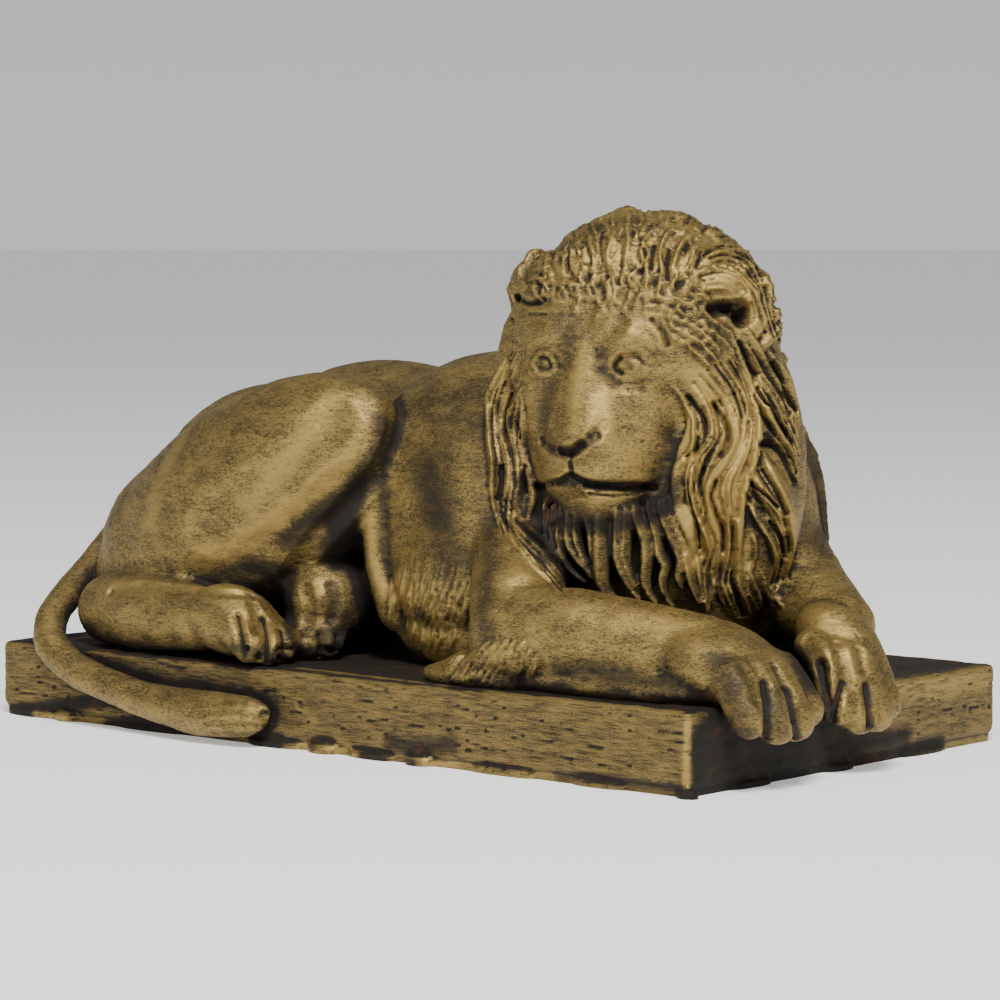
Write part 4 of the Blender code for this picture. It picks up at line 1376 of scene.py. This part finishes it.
class Number:
    """A number that varies over the surface. Sums with it add Math nodes."""

    def __init__(self, shader, socket):
        self.shader = shader
        self.socket = socket

    def _sum(self, operation, *terms, clamp=False):
        settings = {"operation": operation, "use_clamp": clamp}
        return self.shader.node("ShaderNodeMath", settings, dict(enumerate(terms)), 0)

    def __add__(self, other):
        return self._sum("ADD", self, other)

    def __radd__(self, other):
        return self._sum("ADD", other, self)

    def __sub__(self, other):
        return self._sum("SUBTRACT", self, other)

    def __rsub__(self, other):
        return self._sum("SUBTRACT", other, self)

    def __mul__(self, other):
        return self._sum("MULTIPLY", self, other)

    def __rmul__(self, other):
        return self._sum("MULTIPLY", other, self)

    def clamped(self):
        return self._sum("ADD", self, 0.0, clamp=True)


class Shader:
    """The node tree of a new material or world, with the node that gives its surface."""

    def __init__(self, owner, surface):
        owner.use_nodes = True
        self.owner = owner
        self.tree = owner.node_tree
        self.surface = self.tree.nodes[surface]

    def node(self, kind, settings, values, output):
        """Adds a node with its settings and its sockets' values or links, and gives one of its outputs."""
        node = self.tree.nodes.new(kind)
        for key, value in settings.items():
            setattr(node, key, value)
        self.fill(node, values)
        return Number(self, node.outputs[output])

    def fill(self, node, values):
        for key, value in values.items():
            if isinstance(value, Number):
                self.tree.links.new(value.socket, node.inputs[key])
            else:
                node.inputs[key].default_value = value

    def ramp(self, value, low, high, first=0.0, last=1.0):
        """A smooth step from first, where a value is at low, to last, where it is at high."""
        settings = {"interpolation_type": "SMOOTHSTEP"}
        return self.node("ShaderNodeMapRange", settings, {0: value, 1: low, 2: high, 3: first, 4: last}, 0)

    def mixed(self, share, first, last):
        settings = {"data_type": "RGBA"}
        return self.node("ShaderNodeMix", settings, {0: share, 6: first, 7: last}, 2)

    def place(self, stretch):
        """Places on the object in metres, stretched along each axis."""
        here = self.node("ShaderNodeTexCoord", {}, {}, "Object")
        return self.node("ShaderNodeMapping", {}, {"Vector": here, "Scale": stretch}, 0)

    def grain(self, stretch, detail, roughness=0.6):
        values = {"Vector": self.place(stretch), "Scale": 1.0, "Detail": detail, "Roughness": roughness}
        return self.node("ShaderNodeTexNoise", {}, values, 0)

    def mark(self, name):
        return self.node("ShaderNodeAttribute", {"attribute_name": name}, {}, "Fac")


# The paint's colours
BRIGHT_GOLD = (0.37, 0.256, 0.080, 1.0)
DULL_GOLD = (0.086, 0.062, 0.026, 1.0)
UNDERCOAT = (0.014, 0.011, 0.008, 1.0)
BROWN_WASH = (0.050, 0.022, 0.009, 1.0)


def bronze_paint(name, streak=1500.0, thin=0.0):
    """Gold paint brushed over a near-black undercoat, lost in hollows and on level tops.

    Where it is thin, more of the undercoat shows all over. Where the surroundings close in it darkens as
    painted shade, and along traced lines it takes painted shade and painted highlights.
    """
    shader = Shader(bpy.data.materials.new(name), "Principled BSDF")
    streaks = shader.grain((streak, streak, 6500.0), 4.0, 0.7)
    grains = shader.grain((5200.0, 5200.0, 6500.0), 2.0, 0.7)
    blotches = shader.grain((210.0, 210.0, 420.0), 4.0)
    worn = 0.72 * streaks + 0.2 * grains + 0.08 * blotches
    near = shader.ramp(shader.mark("near") + 0.04 * (worn - 0.5), 0.012, 0.055)
    far = shader.ramp(shader.mark("far") + 0.12 * (worn - 0.5), 0.015, 0.16)
    # Where the surroundings close in, the paint darkens towards the undercoat: painted shade.
    shut = shader.ramp(shader.mark("open") + 0.5 * (worn - 0.5), 0.95, 0.45)
    level = shader.ramp(shader.mark("level") + 1.1 * (worn - 0.5), 0.2, 0.9)
    bare = shader.ramp(worn, 0.47, 0.38)
    # The wash lines darken the paint as painted shade, partly a dark wash of paint, and below 0 brighten it
    # as painted highlights.
    wash_and_painted_light = shader.mark("wash_and_painted_light")
    dark = 0.5 * near + 0.55 * far + 0.95 * shut + 0.7 * level + 0.5 * bare + wash_and_painted_light * (0.5 + worn)
    dark = (dark + thin).clamped()
    shine = 0.55 * worn + 0.2 * blotches + 0.25 * grains - 1.5 * shader.mark("near") - 0.14 * wash_and_painted_light
    shine = shader.ramp(shine, 0.4, 0.62)
    gold = shader.mixed(shine, DULL_GOLD, BRIGHT_GOLD)
    hollow = shader.mixed(shader.ramp(blotches, 0.52, 0.72), UNDERCOAT, BROWN_WASH)
    colour = shader.mixed(dark, gold, hollow)
    height = 0.5 * streaks + 0.5 * grains
    bump = shader.node("ShaderNodeBump", {}, {"Strength": 0.55, "Distance": 0.00017, "Height": height}, 0)
    shader.fill(shader.surface, {
        "Base Color": colour,
        "Roughness": 0.5 + 0.22 * dark + 0.3 * (grains - 0.5),
        "Metallic": 0.8 - 0.65 * dark,
        "Specular IOR Level": 0.25,
        "Normal": bump,
    })
    return shader.owner


def dress(piece, material):
    piece.data.materials.append(material)
    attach(piece, "root")
    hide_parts("lion_figurine")


# Ahead of this place in parts, level tops keep their gold
TOP_SHADE_FRONT = 16.0

# The plinth's paint has longer streaks, and is thinner
PLINTH_STREAK = 420.0
PLINTH_THIN = 0.32


def marks_of(skin, tree, level, washes_and_painted_light):
    """What the paint reads at each point of a skin, by name."""
    near, far = hollows(skin)
    wash_and_painted_light = skin.washed_and_painted_light(Bed(skin.mesh("bed")), washes_and_painted_light)
    return {"near": near, "far": far, "open": openness(skin, tree), "level": level, "wash_and_painted_light": wash_and_painted_light}


def figure_and_plinth():
    skin = figure_skin()
    slab = plinth_skin()
    # The figure and the plinth close each other in, so their openness gives painted shade on the plinth
    # under the paws and on the figure where it meets the plinth.
    tree = surroundings(skin, slab)
    placing = Matrix.Translation((0, 0, PLINTH_HEIGHT + FOOTING_HEIGHT)) @ anchored()
    level = np.clip((skin.normals()[:, 2] - 0.35) / 0.6, 0.0, 1.0)
    level *= np.clip((TOP_SHADE_FRONT - skin.places[:, 0]) / 14.0, 0.25, 1.0)
    marks = marks_of(skin, tree, 0.55 * level, FIGURE_WASHES_AND_PAINTED_LIGHT)
    paint = bronze_paint("brushed_bronze_paint")
    for name, triangles in parted(skin).items():
        dress(section(name, skin, triangles, placing, marks), paint)
    level = np.clip((slab.normals()[:, 2] - 0.6) / 0.3, 0.0, 0.8)
    marks = marks_of(slab, tree, level, PLINTH_WASHES_AND_PAINTED_LIGHT)
    paint = bronze_paint("brushed_bronze_plinth", PLINTH_STREAK, PLINTH_THIN)
    dress(section("plinth", slab, slab.triangles, placing, marks), paint)


def floor():
    bm = bmesh.new()
    bmesh.ops.create_grid(bm, x_segments=1, y_segments=1, size=FLOOR_REACH)
    mesh = bpy.data.meshes.new("floor")
    bm.to_mesh(mesh)
    bm.free()
    piece = bpy.data.objects.new("floor", mesh)
    bpy.context.scene.collection.objects.link(piece)
    shader = Shader(bpy.data.materials.new("pale_floor"), "Principled BSDF")
    shader.fill(shader.surface, {
        "Base Color": (0.85, 0.85, 0.84, 1.0),
        "Roughness": 0.9,
        "Emission Color": (1.0, 1.0, 1.0, 1.0),
        "Emission Strength": FLOOR_GLOW,
    })
    mesh.materials.append(shader.owner)


def soft_light(name, place, aim, size, power):
    lamp = bpy.data.lights.new(name, "AREA")
    lamp.size = size
    lamp.energy = power
    holder = bpy.data.objects.new(name, lamp)
    holder.location = place
    holder.rotation_mode = "QUATERNION"
    holder.rotation_quaternion = (Vector(aim) - Vector(place)).to_track_quat("-Z", "Y")
    bpy.context.scene.collection.objects.link(holder)


# Soft lamps: how far each stands towards the camera, to the right and up, its size, and its power
LAMPS = {
    "key": (0.62, 0.05, 0.78, 0.28, 14.0),
    "fill": (0.75, -0.6, 0.1, 0.45, 1.6),
}
LAMP_AIM = (0.0, 0.0, 0.03)


def lights():
    look, right, _ = camera_axes()
    level = Vector((look.x, look.y, 0)).normalized()
    for name, (near, across, high, size, power) in LAMPS.items():
        soft_light(name, right * across - level * near + UP * high, LAMP_AIM, size, power)


def room():
    """Pale surroundings that darken from the horizon up."""
    shader = Shader(bpy.data.worlds.new("pale_room"), "Background")
    here = shader.node("ShaderNodeTexCoord", {}, {}, "Generated")
    height = shader.node("ShaderNodeSeparateXYZ", {}, {0: here}, "Z")
    shader.fill(shader.surface, {
        "Color": (1.0, 1.0, 1.0, 1.0),
        "Strength": shader.ramp(height, 0.0, ROOM_FADE, ROOM_LOW, ROOM_HIGH),
    })
    bpy.context.scene.world = shader.owner


def camera():
    data = bpy.data.cameras.new("camera")
    data.sensor_width = SENSOR_WIDTH
    data.lens = SENSOR_WIDTH * CAMERA_FOCUS / PICTURE_SIZE
    data.clip_start = 0.01
    holder = bpy.data.objects.new("camera", data)
    holder.location = CAMERA_PLACE
    holder.rotation_mode = "QUATERNION"
    holder.rotation_quaternion = camera_axes()[0].to_track_quat("-Z", "Y")
    bpy.context.scene.collection.objects.link(holder)
    bpy.context.scene.camera = holder


camera()
figure_and_plinth()
floor()
lights()
room()
